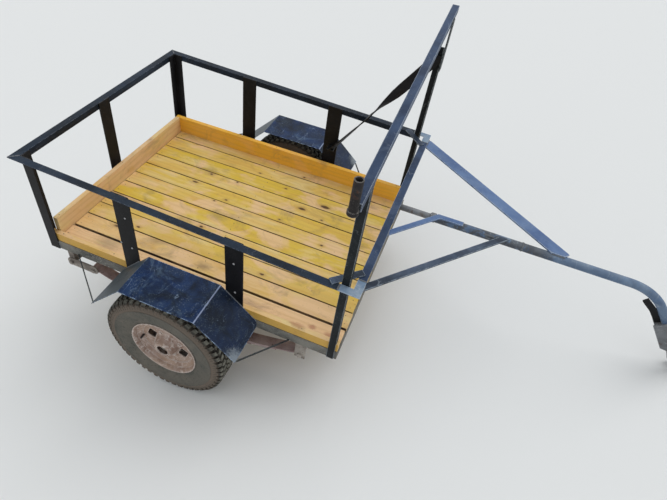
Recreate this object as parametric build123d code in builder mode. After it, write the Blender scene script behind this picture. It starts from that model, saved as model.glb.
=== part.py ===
from math import asin, atan2, cos, degrees, hypot, radians, sin, sqrt
import os

from build123d import *

os.makedirs("parts", exist_ok=True)

# Overall sizes of the bed, in millimetres.
# Level frame: x forward from the outer face of the rear posts, y to the left of the middle,
# z up from the frame's foot.
bed_length = 1192.0
bed_width = 914.0
rail_height = 384.0
rear_rise = 43.0
half_width = bed_width / 2

# Rolled sections.
base_leg = 40.0
base_wall = 4.0
post_leg = 40.0
post_wall = 4.0
rail_drop = 25.0
rail_wall = 3.0
rail_overhang = 27.0

# Deck and boards.
plank_thickness = 18.0
board_thickness = 20.0
low_board_height = 37.0
tall_board_height = 79.0
right_board_out = 7.0
left_board_out = 41.0
rear_board_x = 22.0
deck_base = base_leg
deck_top = deck_base + plank_thickness

# Running gear.
axle_x = bed_length / 2 - 5.0
axle_z = -121.0
axle_square = 40.0
tyre_radius = 242.0
tyre_width = 120.0
wheel_centre = half_width + 100.0
spindle_radius = 15.0
bearing_clearance = 0.05
hub_inner = 45.0
hub_outer = 42.0
spindle_reach = 30.0
hub_side_gap = 6.0

# Drawbar and hitch.
drawbar_radius = 14.5
drawbar_bore = 11.0
brace_thickness = 6.0
rail_droop = rail_overhang * rear_rise / bed_length
brace_z = rail_height - rail_wall - rail_droop - brace_thickness
drawbar_z = brace_z - drawbar_radius
bend_start_x = bed_length + 802.0
bend_radius = 170.0
bend_angle = 51.0
hitch_run = 258.0
fall = radians(bend_angle)
bend_end = (bend_start_x + bend_radius * sin(fall), drawbar_z - bend_radius * (1 - cos(fall)))
hitch_pin_x = bend_end[0] + hitch_run * cos(fall)
hitch_pin_z = bend_end[1] - hitch_run * sin(fall)
hitch_nose_radius = 34.0
hitch_hole_radius = 8.0
hitch_cheek = 8.0

# The trailer stands on its tyres and on the nose of its hitch, so the floor touches both circles.
reach_x = hitch_pin_x - axle_x
reach_z = hitch_pin_z - axle_z
lean = atan2(reach_z, reach_x) + asin((tyre_radius - hitch_nose_radius) / hypot(reach_x, reach_z))
nose_front = hitch_pin_x * cos(lean) + hitch_pin_z * sin(lean) + hitch_nose_radius
bed = Plane(
    origin=(-nose_front / 2, 0, tyre_radius + axle_x * sin(lean) - axle_z * cos(lean)),
    x_dir=(cos(lean), 0, -sin(lean)),
    z_dir=(sin(lean), 0, cos(lean)),
)


def top(z):
    return Plane(bed.location * Location((0, 0, z)))


def side(y):
    return Plane(bed.location * Plane.XZ.offset(-y).location)


def end(x):
    return Plane(bed.location * Plane.YZ.offset(x).location)


def side_slab(hand, low, high):
    return side(max(hand * low, hand * high))


def ring_z(x):
    # Height of the rail ring's top, which rises to the rear.
    return rail_height + rear_rise * (1 - x / bed_length)


ring_stretch = hypot(bed_length, rear_rise) / bed_length


def ring():
    along = bed.from_local_coords(Vector(bed_length, 0, -rear_rise)) - bed.origin
    across = bed.from_local_coords(Vector(0, 1, 0)) - bed.origin
    return Plane(origin=point(0, 0, ring_z(0)), x_dir=along, z_dir=along.cross(across))


def ring_outline(points):
    outline([(x * ring_stretch, y) for x, y in points])


def ring_box(x0, x1, y0, y1):
    ring_outline([(x0, y0), (x1, y0), (x1, y1), (x0, y1)])


def point(x, y, z):
    return bed.from_local_coords(Vector(x, y, z))


def outline(points):
    with BuildLine() as border:
        Polyline(*points, close=True)
    make_face(border.edges())


def box_outline(x0, x1, y0, y1):
    outline([(x0, y0), (x1, y0), (x1, y1), (x0, y1)])


def folded(points, thickness):
    # Sheet folded along a line of corners, its thickness laid below the line.
    lower = []
    for i, (x, z) in enumerate(points):
        steps = []
        if i > 0:
            steps.append((x - points[i - 1][0], z - points[i - 1][1]))
        if i < len(points) - 1:
            steps.append((points[i + 1][0] - x, points[i + 1][1] - z))
        units = [(a / hypot(a, b), b / hypot(a, b)) for a, b in steps]
        normals = [(b, -a) for a, b in units]
        nx = sum(n[0] for n in normals)
        nz = sum(n[1] for n in normals)
        size = hypot(nx, nz)
        nx, nz = nx / size, nz / size
        reach = thickness / (nx * normals[0][0] + nz * normals[0][1])
        lower.append((x + nx * reach, z + nz * reach))
    return list(points) + lower[::-1]


hands = (("right", -1), ("left", 1))

# Base frame of angle, its legs turned in at the top to carry the deck.
for hand_name, hand in hands:
    with BuildPart() as base_side:
        with BuildSketch(end(post_wall)):
            u0 = half_width - post_wall
            outline([
                (hand * u0, 0),
                (hand * (u0 - base_wall), 0),
                (hand * (u0 - base_wall), base_leg - base_wall),
                (hand * (u0 - base_leg), base_leg - base_wall),
                (hand * (u0 - base_leg), base_leg),
                (hand * u0, base_leg),
            ])
        extrude(amount=bed_length - 2 * post_wall)
    base_side.part.label = f"base_side_{hand_name}"
    export_step(base_side.part, f"parts/base_side_{hand_name}.step")

base_end_table = (
    # name, outer face x, inward direction
    ("base_rear", post_wall, 1),
    ("base_front", bed_length - post_wall, -1),
)
for name, face_x, inward in base_end_table:
    long_half = half_width - post_wall - base_wall
    short_half = half_width - post_wall - base_leg
    with BuildPart() as base_end:
        with BuildSketch(top(0)):
            box_outline(face_x, face_x + inward * base_wall, -long_half, long_half)
        extrude(amount=base_leg - base_wall)
        with BuildSketch(top(base_leg - base_wall)):
            box_outline(face_x, face_x + inward * base_leg, -short_half, short_half)
        extrude(amount=base_wall)
    base_end.part.label = name
    export_step(base_end.part, f"parts/{name}.step")

cross_positions = (0.21 * bed_length, 0.5 * bed_length - 15.0, 0.79 * bed_length - 30.0)
cross_leg = 30.0
cross_wall = 3.0
with BuildPart() as cross_members:
    for x in cross_positions:
        with BuildSketch(side(half_width - post_wall - base_wall)):
            z1 = base_leg - base_wall
            outline([
                (x, z1 - cross_leg),
                (x + cross_wall, z1 - cross_leg),
                (x + cross_wall, z1 - cross_wall),
                (x + cross_leg, z1 - cross_wall),
                (x + cross_leg, z1),
                (x, z1),
            ])
        extrude(amount=bed_width - 2 * (post_wall + base_wall))
cross_members.part.label = "cross_members"
export_step(cross_members.part, "parts/cross_members.step")

# Deck planks, side by side along the bed.
plank_rear = rear_board_x + board_thickness
planks_right = right_board_out + board_thickness
planks_left = 35.0
plank_table = (
    # share of the deck's width, gap to the next one, front cut
    (70.0, 9.0, 8.0),
    (76.0, 4.0, 6.0),
    (76.0, 2.5, 9.0),
    (80.0, 3.0, 7.0),
    (83.0, 3.5, 6.0),
    (73.0, 2.5, 9.0),
    (79.0, 4.0, 7.0),
    (79.0, 3.0, 8.0),
    (80.0, 2.5, 6.0),
    (81.0, 3.0, 9.0),
    (77.0, 3.0, 7.0),
)
plank_shares = sum(share for share, gap, front_cut in plank_table)
plank_scale = (bed_width - planks_right - planks_left) / plank_shares
with BuildPart() as deck_planks:
    right_edge = planks_right - half_width
    for share, gap, front_cut in plank_table:
        left_edge = right_edge + share * plank_scale
        with BuildSketch(top(deck_base)):
            box_outline(plank_rear + 2, bed_length - front_cut, right_edge, left_edge - gap)
        extrude(amount=plank_thickness)
        right_edge = left_edge
deck_planks.part.label = "deck_planks"
export_step(deck_planks.part, "parts/deck_planks.step")

left_board_inner = half_width - left_board_out - board_thickness
with BuildPart() as board_right:
    with BuildSketch(top(deck_base)):
        y0 = right_board_out - half_width
        box_outline(post_wall + 2, bed_length - post_wall - 2, y0, y0 + board_thickness)
    extrude(amount=low_board_height)
board_right.part.label = "board_right"
export_step(board_right.part, "parts/board_right.step")

with BuildPart() as board_left:
    with BuildSketch(top(deck_top)):
        box_outline(rear_board_x, bed_length - 10, left_board_inner, left_board_inner + board_thickness)
    extrude(amount=tall_board_height)
board_left.part.label = "board_left"
export_step(board_left.part, "parts/board_left.step")

with BuildPart() as board_rear:
    with BuildSketch(top(deck_base)):
        y0 = right_board_out + board_thickness - half_width
        box_outline(rear_board_x, rear_board_x + board_thickness, y0, left_board_inner)
    extrude(amount=plank_thickness + tall_board_height)
board_rear.part.label = "board_rear"
export_step(board_rear.part, "parts/board_rear.step")

# High cross bar on the front posts, rising to the left, and the corner posts under it.
bar_leg = 25.0
bar_wall = 3.0
bar_back = 14.0
bar_front = bed_length - bar_back
bar_top_right = 774.0
bar_slope = 0.113
bar_right_end = -half_width - 81.0
bar_left_end = half_width + 81.0


def bar_top(y):
    return bar_top_right + (y + half_width) * bar_slope


rail_seat = 0.1
post_shape = (
    (0, 0),
    (post_leg, 0),
    (post_leg, post_wall),
    (post_wall, post_wall),
    (post_wall, post_leg),
    (0, post_leg),
)
for hand_name, hand in hands:
    with BuildPart() as rear_post:
        with BuildSketch(top(0)):
            outline([(u, hand * (half_width - v)) for u, v in post_shape])
        extrude(amount=ring_z(post_leg) - rail_seat)
    rear_post.part.label = f"post_rear_{hand_name}"
    export_step(rear_post.part, f"parts/post_rear_{hand_name}.step")

# Front posts of a lighter angle, right under the cross bar.
# The inner leg is cut away at the foot to clear the frame and the boards.
front_post_leg = 25.0
front_post_cut = 78.5
left_post_top = 761.0
for hand_name, hand in hands:
    inner_y = half_width - front_post_leg
    outer_top = bar_top(-half_width) - bar_leg if hand < 0 else left_post_top
    inner_top = bar_top(-inner_y) - bar_leg if hand < 0 else left_post_top
    with BuildPart() as front_post:
        with BuildSketch(side_slab(hand, half_width - post_wall, half_width)):
            box_outline(bar_front - front_post_leg, bar_front, 0, outer_top)
        extrude(amount=post_wall)
        with BuildSketch(end(bar_front - post_wall)):
            outline([
                (hand * half_width, front_post_cut),
                (hand * inner_y, front_post_cut),
                (hand * inner_y, inner_top),
                (hand * half_width, outer_top),
            ])
        extrude(amount=post_wall)
    front_post.part.label = f"post_front_{hand_name}"
    export_step(front_post.part, f"parts/post_front_{hand_name}.step")

with BuildPart() as top_bar:
    with BuildSketch(end(bar_front - bar_leg)):
        outline([
            (bar_right_end, bar_top(bar_right_end) - bar_wall),
            (bar_left_end, bar_top(bar_left_end) - bar_wall),
            (bar_left_end, bar_top(bar_left_end)),
            (bar_right_end, bar_top(bar_right_end)),
        ])
    extrude(amount=bar_leg)
    with BuildSketch(end(bar_front - bar_wall)):
        outline([
            (bar_right_end, bar_top(bar_right_end) - bar_leg),
            (bar_left_end, bar_top(bar_left_end) - bar_leg),
            (bar_left_end, bar_top(bar_left_end)),
            (bar_right_end, bar_top(bar_right_end)),
        ])
    extrude(amount=bar_wall)
top_bar.part.label = "top_bar"
export_step(top_bar.part, "parts/top_bar.step")

extension_thickness = 5.0
with BuildPart() as post_extension:
    with BuildSketch(end(bar_front)):
        box_outline(half_width - 38, half_width - 4, bar_top_right - 90, bar_top(half_width - 38) - 4)
    extrude(amount=extension_thickness)
post_extension.part.label = "post_extension"
export_step(post_extension.part, "parts/post_extension.step")

# Open tube for a pole, welded to the right end of the cross bar.
socket_radius = 12.0
socket_bore = 9.0
socket_collar = 14.5
socket_x = bar_front - 17.0
socket_y = bar_right_end - socket_radius
socket_foot = 750.0
socket_top = 840.0
with BuildPart() as pole_socket:
    with BuildSketch(top(socket_foot)):
        with Locations((socket_x, socket_y)):
            Circle(socket_radius)
    extrude(amount=socket_top - socket_foot)
    with BuildSketch(top(socket_foot - 12)):
        with Locations((socket_x, socket_y)):
            Circle(socket_collar)
    extrude(amount=12)
    with BuildSketch(top(socket_foot - 12)):
        with Locations((socket_x, socket_y)):
            Circle(socket_bore)
    extrude(amount=socket_top - socket_foot + 12, mode=Mode.SUBTRACT)
pole_socket.part.label = "pole_socket"
export_step(pole_socket.part, "parts/pole_socket.step")

# Flat bars between the corner posts.
mid_width = 65.0
mid_positions = (0.3255 * bed_length, 0.671 * bed_length)
for hand_name, hand in hands:
    with BuildPart() as mid_posts:
        with BuildSketch(side_slab(hand, half_width - post_wall, half_width)):
            for x in mid_positions:
                x0, x1 = x - mid_width / 2, x + mid_width / 2
                outline([(x0, 0), (x1, 0), (x1, ring_z(x1) - rail_seat), (x0, ring_z(x0) - rail_seat)])
        extrude(amount=post_wall)
    mid_posts.part.label = f"mid_posts_{hand_name}"
    export_step(mid_posts.part, f"parts/mid_posts_{hand_name}.step")

with BuildPart() as mid_post_rear:
    with BuildSketch(end(0)):
        box_outline(-65, -5, 0, ring_z(post_wall) - rail_seat)
    extrude(amount=post_wall)
mid_post_rear.part.label = "mid_post_rear"
export_step(mid_post_rear.part, "parts/mid_post_rear.step")

# Rail ring: angle with its flange turned out over the posts, open at the front corners.
rail_out = rail_overhang
notch = post_leg + 2.0
down = point(0, 0, -1) - point(0, 0, 0)
for hand_name, hand in hands:
    with BuildPart() as rail_side:
        with BuildSketch(ring()):
            ring_outline([
                (-rail_out, hand * (half_width + rail_out)),
                (bed_length - notch, hand * (half_width + rail_out)),
                (bed_length - notch, hand * half_width),
                (0, hand * half_width),
            ])
        extrude(amount=rail_wall, dir=down)
        with BuildSketch(ring()):
            ring_box(0, bed_length - notch, hand * half_width, hand * (half_width + rail_wall))
        extrude(amount=rail_drop, dir=down)
    rail_side.part.label = f"rail_{hand_name}"
    export_step(rail_side.part, f"parts/rail_{hand_name}.step")

with BuildPart() as rail_rear:
    with BuildSketch(ring()):
        ring_outline([
            (-rail_out, -half_width - rail_out),
            (0, -half_width),
            (0, half_width),
            (-rail_out, half_width + rail_out),
        ])
    extrude(amount=rail_wall, dir=down)
    with BuildSketch(ring()):
        ring_box(-rail_wall, 0, -half_width, half_width)
    extrude(amount=rail_drop, dir=down)
rail_rear.part.label = "rail_rear"
export_step(rail_rear.part, "parts/rail_rear.step")

with BuildPart() as rail_front:
    with BuildSketch(ring()):
        ring_box(bed_length, bed_length + rail_out, notch - half_width, half_width - notch)
    extrude(amount=rail_wall, dir=down)
    with BuildSketch(ring()):
        ring_box(bed_length, bed_length + rail_wall, notch - half_width, half_width - notch)
    extrude(amount=rail_drop, dir=down)
rail_front.part.label = "rail_front"
export_step(rail_front.part, "parts/rail_front.step")

# Plates that close the ring round the front posts, and flats laid across the inside of both corners.
for hand_name, hand in hands:
    with BuildPart() as corner_plate:
        with BuildSketch(ring()):
            ring_outline([
                (bed_length - notch, hand * (half_width + rail_out)),
                (bed_length + rail_out, hand * (half_width + rail_out)),
                (bed_length + rail_out, hand * (half_width - notch)),
                (bed_length + 0.05, hand * (half_width - notch)),
                (bed_length + 0.05, hand * half_width),
                (bed_length - notch, hand * half_width),
            ])
        extrude(amount=rail_wall, dir=down)
    corner_plate.part.label = f"corner_plate_{hand_name}"
    export_step(corner_plate.part, f"parts/corner_plate_{hand_name}.step")

corner_flat_centre = 32.0
with BuildPart() as corner_flats:
    for hand_name, hand in hands:
        with BuildSketch(ring()):
            flat_x = (bed_length - corner_flat_centre) * ring_stretch
            with Locations((flat_x, hand * (half_width - corner_flat_centre))):
                Rectangle(112, 24, rotation=-hand * 45)
        extrude(amount=post_wall)
corner_flats.part.label = "corner_flats"
export_step(corner_flats.part, "parts/corner_flats.step")

# Twisted flat stay on the left side, from a rail-side post up to the front post.
stay_width = 40.0
stay_thickness = 5.0
stay_y = half_width - 31.0
stay_foot = (mid_positions[1] + 15.0, 205.0)
stay_head = (bar_front - 20.0, 722.0)
stay_run = (stay_head[0] - stay_foot[0], stay_head[1] - stay_foot[1])
stay_length = hypot(*stay_run)
stay_along = (stay_run[0] / stay_length, stay_run[1] / stay_length)
stay_twist = (
    # fraction of the length, turn away from the side
    (0.00, 66.0),
    (0.24, 74.0),
    (0.42, 90.0),
    (0.50, 76.0),
    (0.58, 50.0),
    (0.66, 20.0),
    (0.72, 0.0),
    (1.00, 0.0),
)
with BuildPart() as stay:
    for fraction, turn in stay_twist:
        x = stay_foot[0] + stay_run[0] * fraction
        z = stay_foot[1] + stay_run[1] * fraction
        across = (-stay_along[1], stay_along[0])
        wide = Vector(across[0] * cos(radians(turn)), -sin(radians(turn)), across[1] * cos(radians(turn)))
        normal = Vector(stay_along[0], 0, stay_along[1])
        section = Plane(
            origin=point(x, stay_y, z),
            x_dir=bed.from_local_coords(wide) - bed.origin,
            z_dir=bed.from_local_coords(normal) - bed.origin,
        )
        with BuildSketch(section):
            Rectangle(stay_width, stay_thickness)
    loft(ruled=True)
    with BuildSketch(side(half_width - post_wall)):
        box_outline(stay_foot[0] - 22, stay_foot[0] + 12, stay_foot[1] - 4, stay_foot[1] + 2)
    extrude(amount=half_width - post_wall - stay_y + 12)
    with BuildSketch(side(stay_y + stay_thickness / 2)):
        box_outline(stay_head[0] - 24, bar_front, stay_head[1] - 10, stay_head[1] + 16)
    extrude(amount=stay_thickness)
stay.part.label = "stay"
export_step(stay.part, "parts/stay.step")

# Folded fenders over the wheels, with a rod to the base frame at each end.
fender_sheet = 2.0
fender_reach = 175.0
fender_line = (
    (axle_x - 259.0, 26.0),
    (axle_x - 125.0, 163.5),
    (axle_x + 158.0, 163.5),
    (axle_x + 304.0, 35.0),
)
fender_corner = 20.0
fender_rod = 3.5
rod_foot_z = 5.0
rod_end_y = half_width + fender_reach - 8.0
fender_shape = folded(fender_line, fender_sheet)
rod_table = (
    # foot x, tip corner of the folded sheet
    (axle_x - 467.0, fender_shape[-1]),
    (axle_x + 421.0, fender_shape[len(fender_line)]),
)
for hand_name, hand in hands:
    with BuildPart() as fender:
        with BuildSketch(side_slab(hand, half_width, half_width + fender_reach)):
            outline(fender_shape)
        extrude(amount=fender_reach)
        corners = [edge for edge in fender.edges() if abs(edge.length - fender_sheet) < 0.01]
        tip = point(fender_line[-1][0], hand * half_width, fender_line[-1][1])
        fillet(sorted(corners, key=lambda edge: (edge.center() - tip).length)[0], fender_corner)
    fender.part.label = f"fender_{hand_name}"
    export_step(fender.part, f"parts/fender_{hand_name}.step")

    with BuildPart() as fender_rods:
        for foot_x, tip in rod_table:
            start = (foot_x, half_width - post_wall, rod_foot_z)
            finish = (tip[0], rod_end_y, tip[1] - fender_rod)
            run = Vector(finish[0] - start[0], hand * (finish[1] - start[1]), finish[2] - start[2])
            with BuildSketch(side(hand * start[1])):
                with Locations((start[0], start[2])):
                    Circle(fender_rod)
            extrude(amount=run.length, dir=bed.from_local_coords(run) - bed.origin)
    fender_rods.part.label = f"fender_rods_{hand_name}"
    export_step(fender_rods.part, f"parts/fender_rods_{hand_name}.step")

# Leaf springs under the axle, with a fixed eye in front and a shackle behind.
leaf = 6.0
leaf_half = 0.37 * bed_length
leaf_sag = 80.0
spring_x = axle_x + 24.0
spring_curve = (leaf_half ** 2 + leaf_sag ** 2) / (2 * leaf_sag)


def leaf_rise(run):
    return spring_curve - sqrt(spring_curve ** 2 - run ** 2)


spring_top = axle_z - axle_square / 2 - leaf_rise(spring_x - axle_x + axle_square / 2) - 0.02
eye_z = spring_top + leaf_sag - leaf / 2
eye_radius = 13.0
eye_bore = 6.0
spring_out = half_width - 13.0
spring_width = 43.0
leaf_table = (
    # place in the stack, share of the length
    (0, 1.0),
    (1, 0.79),
    (2, 0.56),
    (3, 0.33),
)
hanger_half = 20.0
shackle_reach = 102.0
shackle_height = 40.0
hanger_wall = 5.0
clamp_half_x = 34.0
clamp_plate = 6.0
stud_radius = 5.0
for hand_name, hand in hands:
    spring_plane = side_slab(hand, spring_out - spring_width, spring_out)
    with BuildPart() as spring:
        with BuildSketch(spring_plane):
            for place, share in leaf_table:
                run = leaf_half * share
                rise = leaf_rise(run)
                upper = spring_top - place * leaf
                lift = 0.5 if place else 0.0
                with BuildLine():
                    ThreePointArc(
                        (spring_x - run, upper + rise + lift),
                        (spring_x, upper + lift),
                        (spring_x + run, upper + rise + lift),
                    )
                    Line((spring_x + run, upper + rise + lift), (spring_x + run, upper + rise - leaf))
                    ThreePointArc(
                        (spring_x + run, upper + rise - leaf),
                        (spring_x, upper - leaf),
                        (spring_x - run, upper + rise - leaf),
                    )
                    Line((spring_x - run, upper + rise - leaf), (spring_x - run, upper + rise + lift))
                make_face()
            with Locations((spring_x - leaf_half, eye_z), (spring_x + leaf_half, eye_z)):
                Circle(eye_radius)
                Circle(eye_bore, mode=Mode.SUBTRACT)
        extrude(amount=spring_width)
    spring.part.label = f"spring_{hand_name}"
    export_step(spring.part, f"parts/spring_{hand_name}.step")

    hanger_out = half_width - post_wall - base_wall
    hanger_in = spring_out - spring_width - hanger_wall - 2
    hanger_top = base_leg - base_wall
    front_eye_x = spring_x + leaf_half
    rear_eye_x = spring_x - leaf_half
    with BuildPart() as spring_hangers:
        with BuildSketch(end(front_eye_x - hanger_half)):
            outline([
                (hand * hanger_out, eye_z - 18),
                (hand * (hanger_out - hanger_wall), eye_z - 18),
                (hand * (hanger_out - hanger_wall), hanger_top - hanger_wall),
                (hand * (hanger_in + hanger_wall), hanger_top - hanger_wall),
                (hand * (hanger_in + hanger_wall), eye_z - 18),
                (hand * hanger_in, eye_z - 18),
                (hand * hanger_in, hanger_top),
                (hand * hanger_out, hanger_top),
            ])
        extrude(amount=2 * hanger_half)
        with BuildSketch(side_slab(hand, hanger_in, hanger_out + 8)):
            with Locations((front_eye_x, eye_z)):
                Circle(eye_bore)
        extrude(amount=hanger_out + 8 - hanger_in)
        with BuildSketch(side_slab(hand, hanger_out, hanger_out + 8)):
            with Locations((front_eye_x, eye_z)):
                RegularPolygon(10.5, 6)
        extrude(amount=8)
        # Rear block: the shackle swings on a pin through its foot.
        with BuildSketch(side_slab(hand, spring_out - spring_width, spring_out)):
            box_outline(rear_eye_x - shackle_reach - 13, rear_eye_x - shackle_reach + 13, eye_z, hanger_top)
            with Locations((rear_eye_x - shackle_reach, eye_z)):
                Circle(13)
                Circle(eye_bore, mode=Mode.SUBTRACT)
        extrude(amount=spring_width)
    spring_hangers.part.label = f"spring_hangers_{hand_name}"
    export_step(spring_hangers.part, f"parts/spring_hangers_{hand_name}.step")

    with BuildPart() as shackle:
        for low, high in ((hanger_out - hanger_wall, hanger_out), (hanger_in, hanger_in + hanger_wall)):
            with BuildSketch(side_slab(hand, low, high)):
                with Locations((rear_eye_x - shackle_reach / 2, eye_z)):
                    SlotOverall(shackle_reach + shackle_height, shackle_height)
            extrude(amount=high - low)
        for pin_x in (rear_eye_x - shackle_reach, rear_eye_x):
            with BuildSketch(side_slab(hand, hanger_in, hanger_out)):
                with Locations((pin_x, eye_z)):
                    Circle(eye_bore)
            extrude(amount=hanger_out - hanger_in)
            with BuildSketch(side_slab(hand, hanger_out, hanger_out + 8)):
                with Locations((pin_x, eye_z)):
                    RegularPolygon(10.5, 6)
            extrude(amount=8)
    shackle.part.label = f"shackle_{hand_name}"
    export_step(shackle.part, f"parts/shackle_{hand_name}.step")

    with BuildPart() as spring_clamp:
        middle = spring_out - spring_width / 2
        clamp_half_y = spring_width / 2 + 13
        clamp_seat = axle_z + axle_square / 2
        clamp_foot = spring_top - 4 * leaf - 0.02 - clamp_plate
        for z in (clamp_seat, clamp_foot):
            with BuildSketch(top(z)):
                box_outline(
                    axle_x - clamp_half_x,
                    axle_x + clamp_half_x,
                    hand * middle - clamp_half_y,
                    hand * middle + clamp_half_y,
                )
            extrude(amount=clamp_plate)
        with BuildSketch(top(clamp_foot - 10)):
            stud_x = axle_square / 2 + stud_radius + 1
            stud_y = spring_width / 2 + stud_radius + 1
            with Locations((axle_x, hand * middle)):
                with GridLocations(2 * stud_x, 2 * stud_y, 2, 2):
                    Circle(stud_radius)
        extrude(amount=clamp_seat - clamp_foot + clamp_plate + 20)
    spring_clamp.part.label = f"spring_clamp_{hand_name}"
    export_step(spring_clamp.part, f"parts/spring_clamp_{hand_name}.step")

# Square axle with a spindle at each end.
beam_half = half_width + 15.0
collar_end = wheel_centre - hub_inner - hub_side_gap
with BuildPart() as axle:
    with BuildSketch(side(beam_half)):
        with Locations((axle_x, axle_z)):
            Rectangle(axle_square, axle_square)
    extrude(amount=2 * beam_half)
    with BuildSketch(side(collar_end)):
        with Locations((axle_x, axle_z)):
            Circle(axle_square / 2 - 1)
    extrude(amount=2 * collar_end)
    with BuildSketch(side(wheel_centre + spindle_reach)):
        with Locations((axle_x, axle_z)):
            Circle(spindle_radius)
    extrude(amount=2 * (wheel_centre + spindle_reach))
axle.part.label = "axle"
export_step(axle.part, "parts/axle.step")

# Wheels. Profiles are radius and distance outward from the wheel's middle.
seat_radius = 127.0
bead_half = 46.0
tread_depth = 8.0
carcass_radius = tyre_radius - tread_depth
tyre_half = tyre_width / 2


def on_tyre(points):
    # Points given as shares of the carcass height above the seat and of half the tyre's width.
    return tuple((seat_radius + up * (carcass_radius - seat_radius), out * tyre_half) for up, out in points)


tyre_outer = ((seat_radius, bead_half),) + on_tyre((
    (0.178, 0.883),
    (0.346, 0.950),
    (0.645, 0.967),
    (0.673, 1.000),
    (0.710, 1.000),
    (0.738, 0.967),
    (0.850, 0.900),
    (0.944, 0.767),
    (1.000, 0.533),
    (1.000, 0.150),
)) + ((tyre_radius - 1, 0.133 * tyre_half),)
lug_shape = on_tyre((
    (0.776, 0.850),
    (0.804, 0.975),
    (0.944, 0.917),
    (1.030, 0.767),
)) + (
    (tyre_radius, 0.567 * tyre_half),
    (tyre_radius, 0.233 * tyre_half),
) + on_tyre((
    (0.944, 0.233),
    (0.925, 0.667),
))
lug_count = 40
lug_arc = 4.6
tyre_inner = ((seat_radius, bead_half - 10.0),) + on_tyre(((0.308, 0.767), (0.636, 0.800), (0.925, 0.533)))
rim_outer = (
    (seat_radius + 5.0, bead_half + 6.0),
    (seat_radius + 5.0, bead_half + 3.0),
    (seat_radius, bead_half + 1.0),
    (seat_radius, 30.0),
    (seat_radius - 19.0, 22.0),
)
rim_inner = (
    (seat_radius - 23.0, 25.0),
    (seat_radius - 4.0, 33.0),
    (seat_radius - 4.0, bead_half - 2.0),
    (seat_radius + 1.0, bead_half + 6.0),
)
disc_profile = (
    (23.0, 58.0),
    (31.0, 58.0),
    (35.0, 55.0),
    (45.0, 25.0),
    (50.0, 22.0),
    (seat_radius - 22.0, 22.0),
    (seat_radius - 22.0, 18.0),
    (49.0, 18.0),
    (42.0, 22.0),
    (33.0, 51.0),
    (30.0, 54.0),
    (23.0, 54.0),
)
hub_profile = (
    (spindle_radius + bearing_clearance, -hub_inner),
    (30.0, -hub_inner),
    (30.0, 10.0),
    (54.0, 10.0),
    (54.0, 18.0),
    (22.0, 18.0),
    (22.0, hub_outer),
    (spindle_radius + bearing_clearance, hub_outer),
)
vent_count = 2
vent_ring = 67.0
vent_first = -21.0
vent_radial = 33.0
vent_round = 46.0


def mirrored(points):
    return [(r, -a) for r, a in reversed(points)]


for hand_name, hand in hands:
    turn_axis = Axis(point(axle_x, 0, axle_z), (0, 1, 0))

    with BuildPart() as tyre:
        with BuildSketch(top(axle_z)):
            wall = list(tyre_outer) + mirrored(tyre_outer)
            wall += [(r, -a) for r, a in tyre_inner] + list(reversed(tyre_inner))
            outline([(axle_x + r, hand * (wheel_centre + a)) for r, a in wall])
        revolve(axis=turn_axis, revolution_arc=360)
        lug_faces = []
        for row, shift in ((1, 0.0), (-1, 0.5)):
            for k in range(lug_count):
                turn = radians((k + shift) * 360 / lug_count)
                across = bed.from_local_coords(Vector(cos(turn), 0, sin(turn))) - bed.origin
                middle = point(axle_x, hand * wheel_centre, axle_z)
                face_way = across.cross(Vector(0, 1, 0))
                lug_plane = Plane(origin=middle, x_dir=across, z_dir=face_way)
                with BuildSketch(lug_plane, mode=Mode.PRIVATE) as lug:
                    outline([(r, row * a) for r, a in lug_shape])
                lug_faces.append(lug.sketch.face())
        revolve(lug_faces, axis=turn_axis, revolution_arc=lug_arc)
    tyre.part.label = f"tyre_{hand_name}"
    export_step(tyre.part, f"parts/tyre_{hand_name}.step")

    with BuildPart() as rim:
        with BuildSketch(top(axle_z)):
            barrel = list(rim_outer) + mirrored(rim_outer)
            barrel += [(r, -a) for r, a in reversed(rim_inner)] + list(rim_inner)
            outline([(axle_x + r, hand * (wheel_centre + a)) for r, a in barrel])
            outline([(axle_x + r, hand * (wheel_centre + a)) for r, a in disc_profile])
        revolve(axis=turn_axis, revolution_arc=360)
        with BuildSketch(side_slab(hand, wheel_centre, wheel_centre + 40)):
            with Locations((axle_x, axle_z)):
                with PolarLocations(vent_ring, vent_count, start_angle=vent_first):
                    RectangleRounded(vent_radial, vent_round, 8)
        extrude(amount=40, mode=Mode.SUBTRACT)
    rim.part.label = f"rim_{hand_name}"
    export_step(rim.part, f"parts/rim_{hand_name}.step")

    with BuildPart() as hub:
        with BuildSketch(top(axle_z)):
            outline([(axle_x + r, hand * (wheel_centre + a)) for r, a in hub_profile])
        revolve(axis=turn_axis, revolution_arc=360)
    hub.part.label = f"hub_{hand_name}"
    export_step(hub.part, f"parts/hub_{hand_name}.step")

# Drawbar: a thin rod from the front rail, carried on in a pipe that bends down to the hitch.
root_radius = 11.0
pipe_start = bed_length + 150.0
root_end = pipe_start + 35.0
collar_length = 14.0
with BuildPart() as drawbar_root:
    with BuildSketch(end(bed_length + rail_wall)):
        with Locations((0, drawbar_z)):
            Circle(root_radius)
    extrude(amount=root_end - bed_length - rail_wall)
drawbar_root.part.label = "drawbar_root"
export_step(drawbar_root.part, "parts/drawbar_root.step")

with BuildPart() as drawbar_collar:
    with BuildSketch(end(pipe_start - collar_length)):
        with Locations((0, drawbar_z)):
            Circle(17)
            Circle(root_radius, mode=Mode.SUBTRACT)
    extrude(amount=collar_length)
drawbar_collar.part.label = "drawbar_collar"
export_step(drawbar_collar.part, "parts/drawbar_collar.step")

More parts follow.
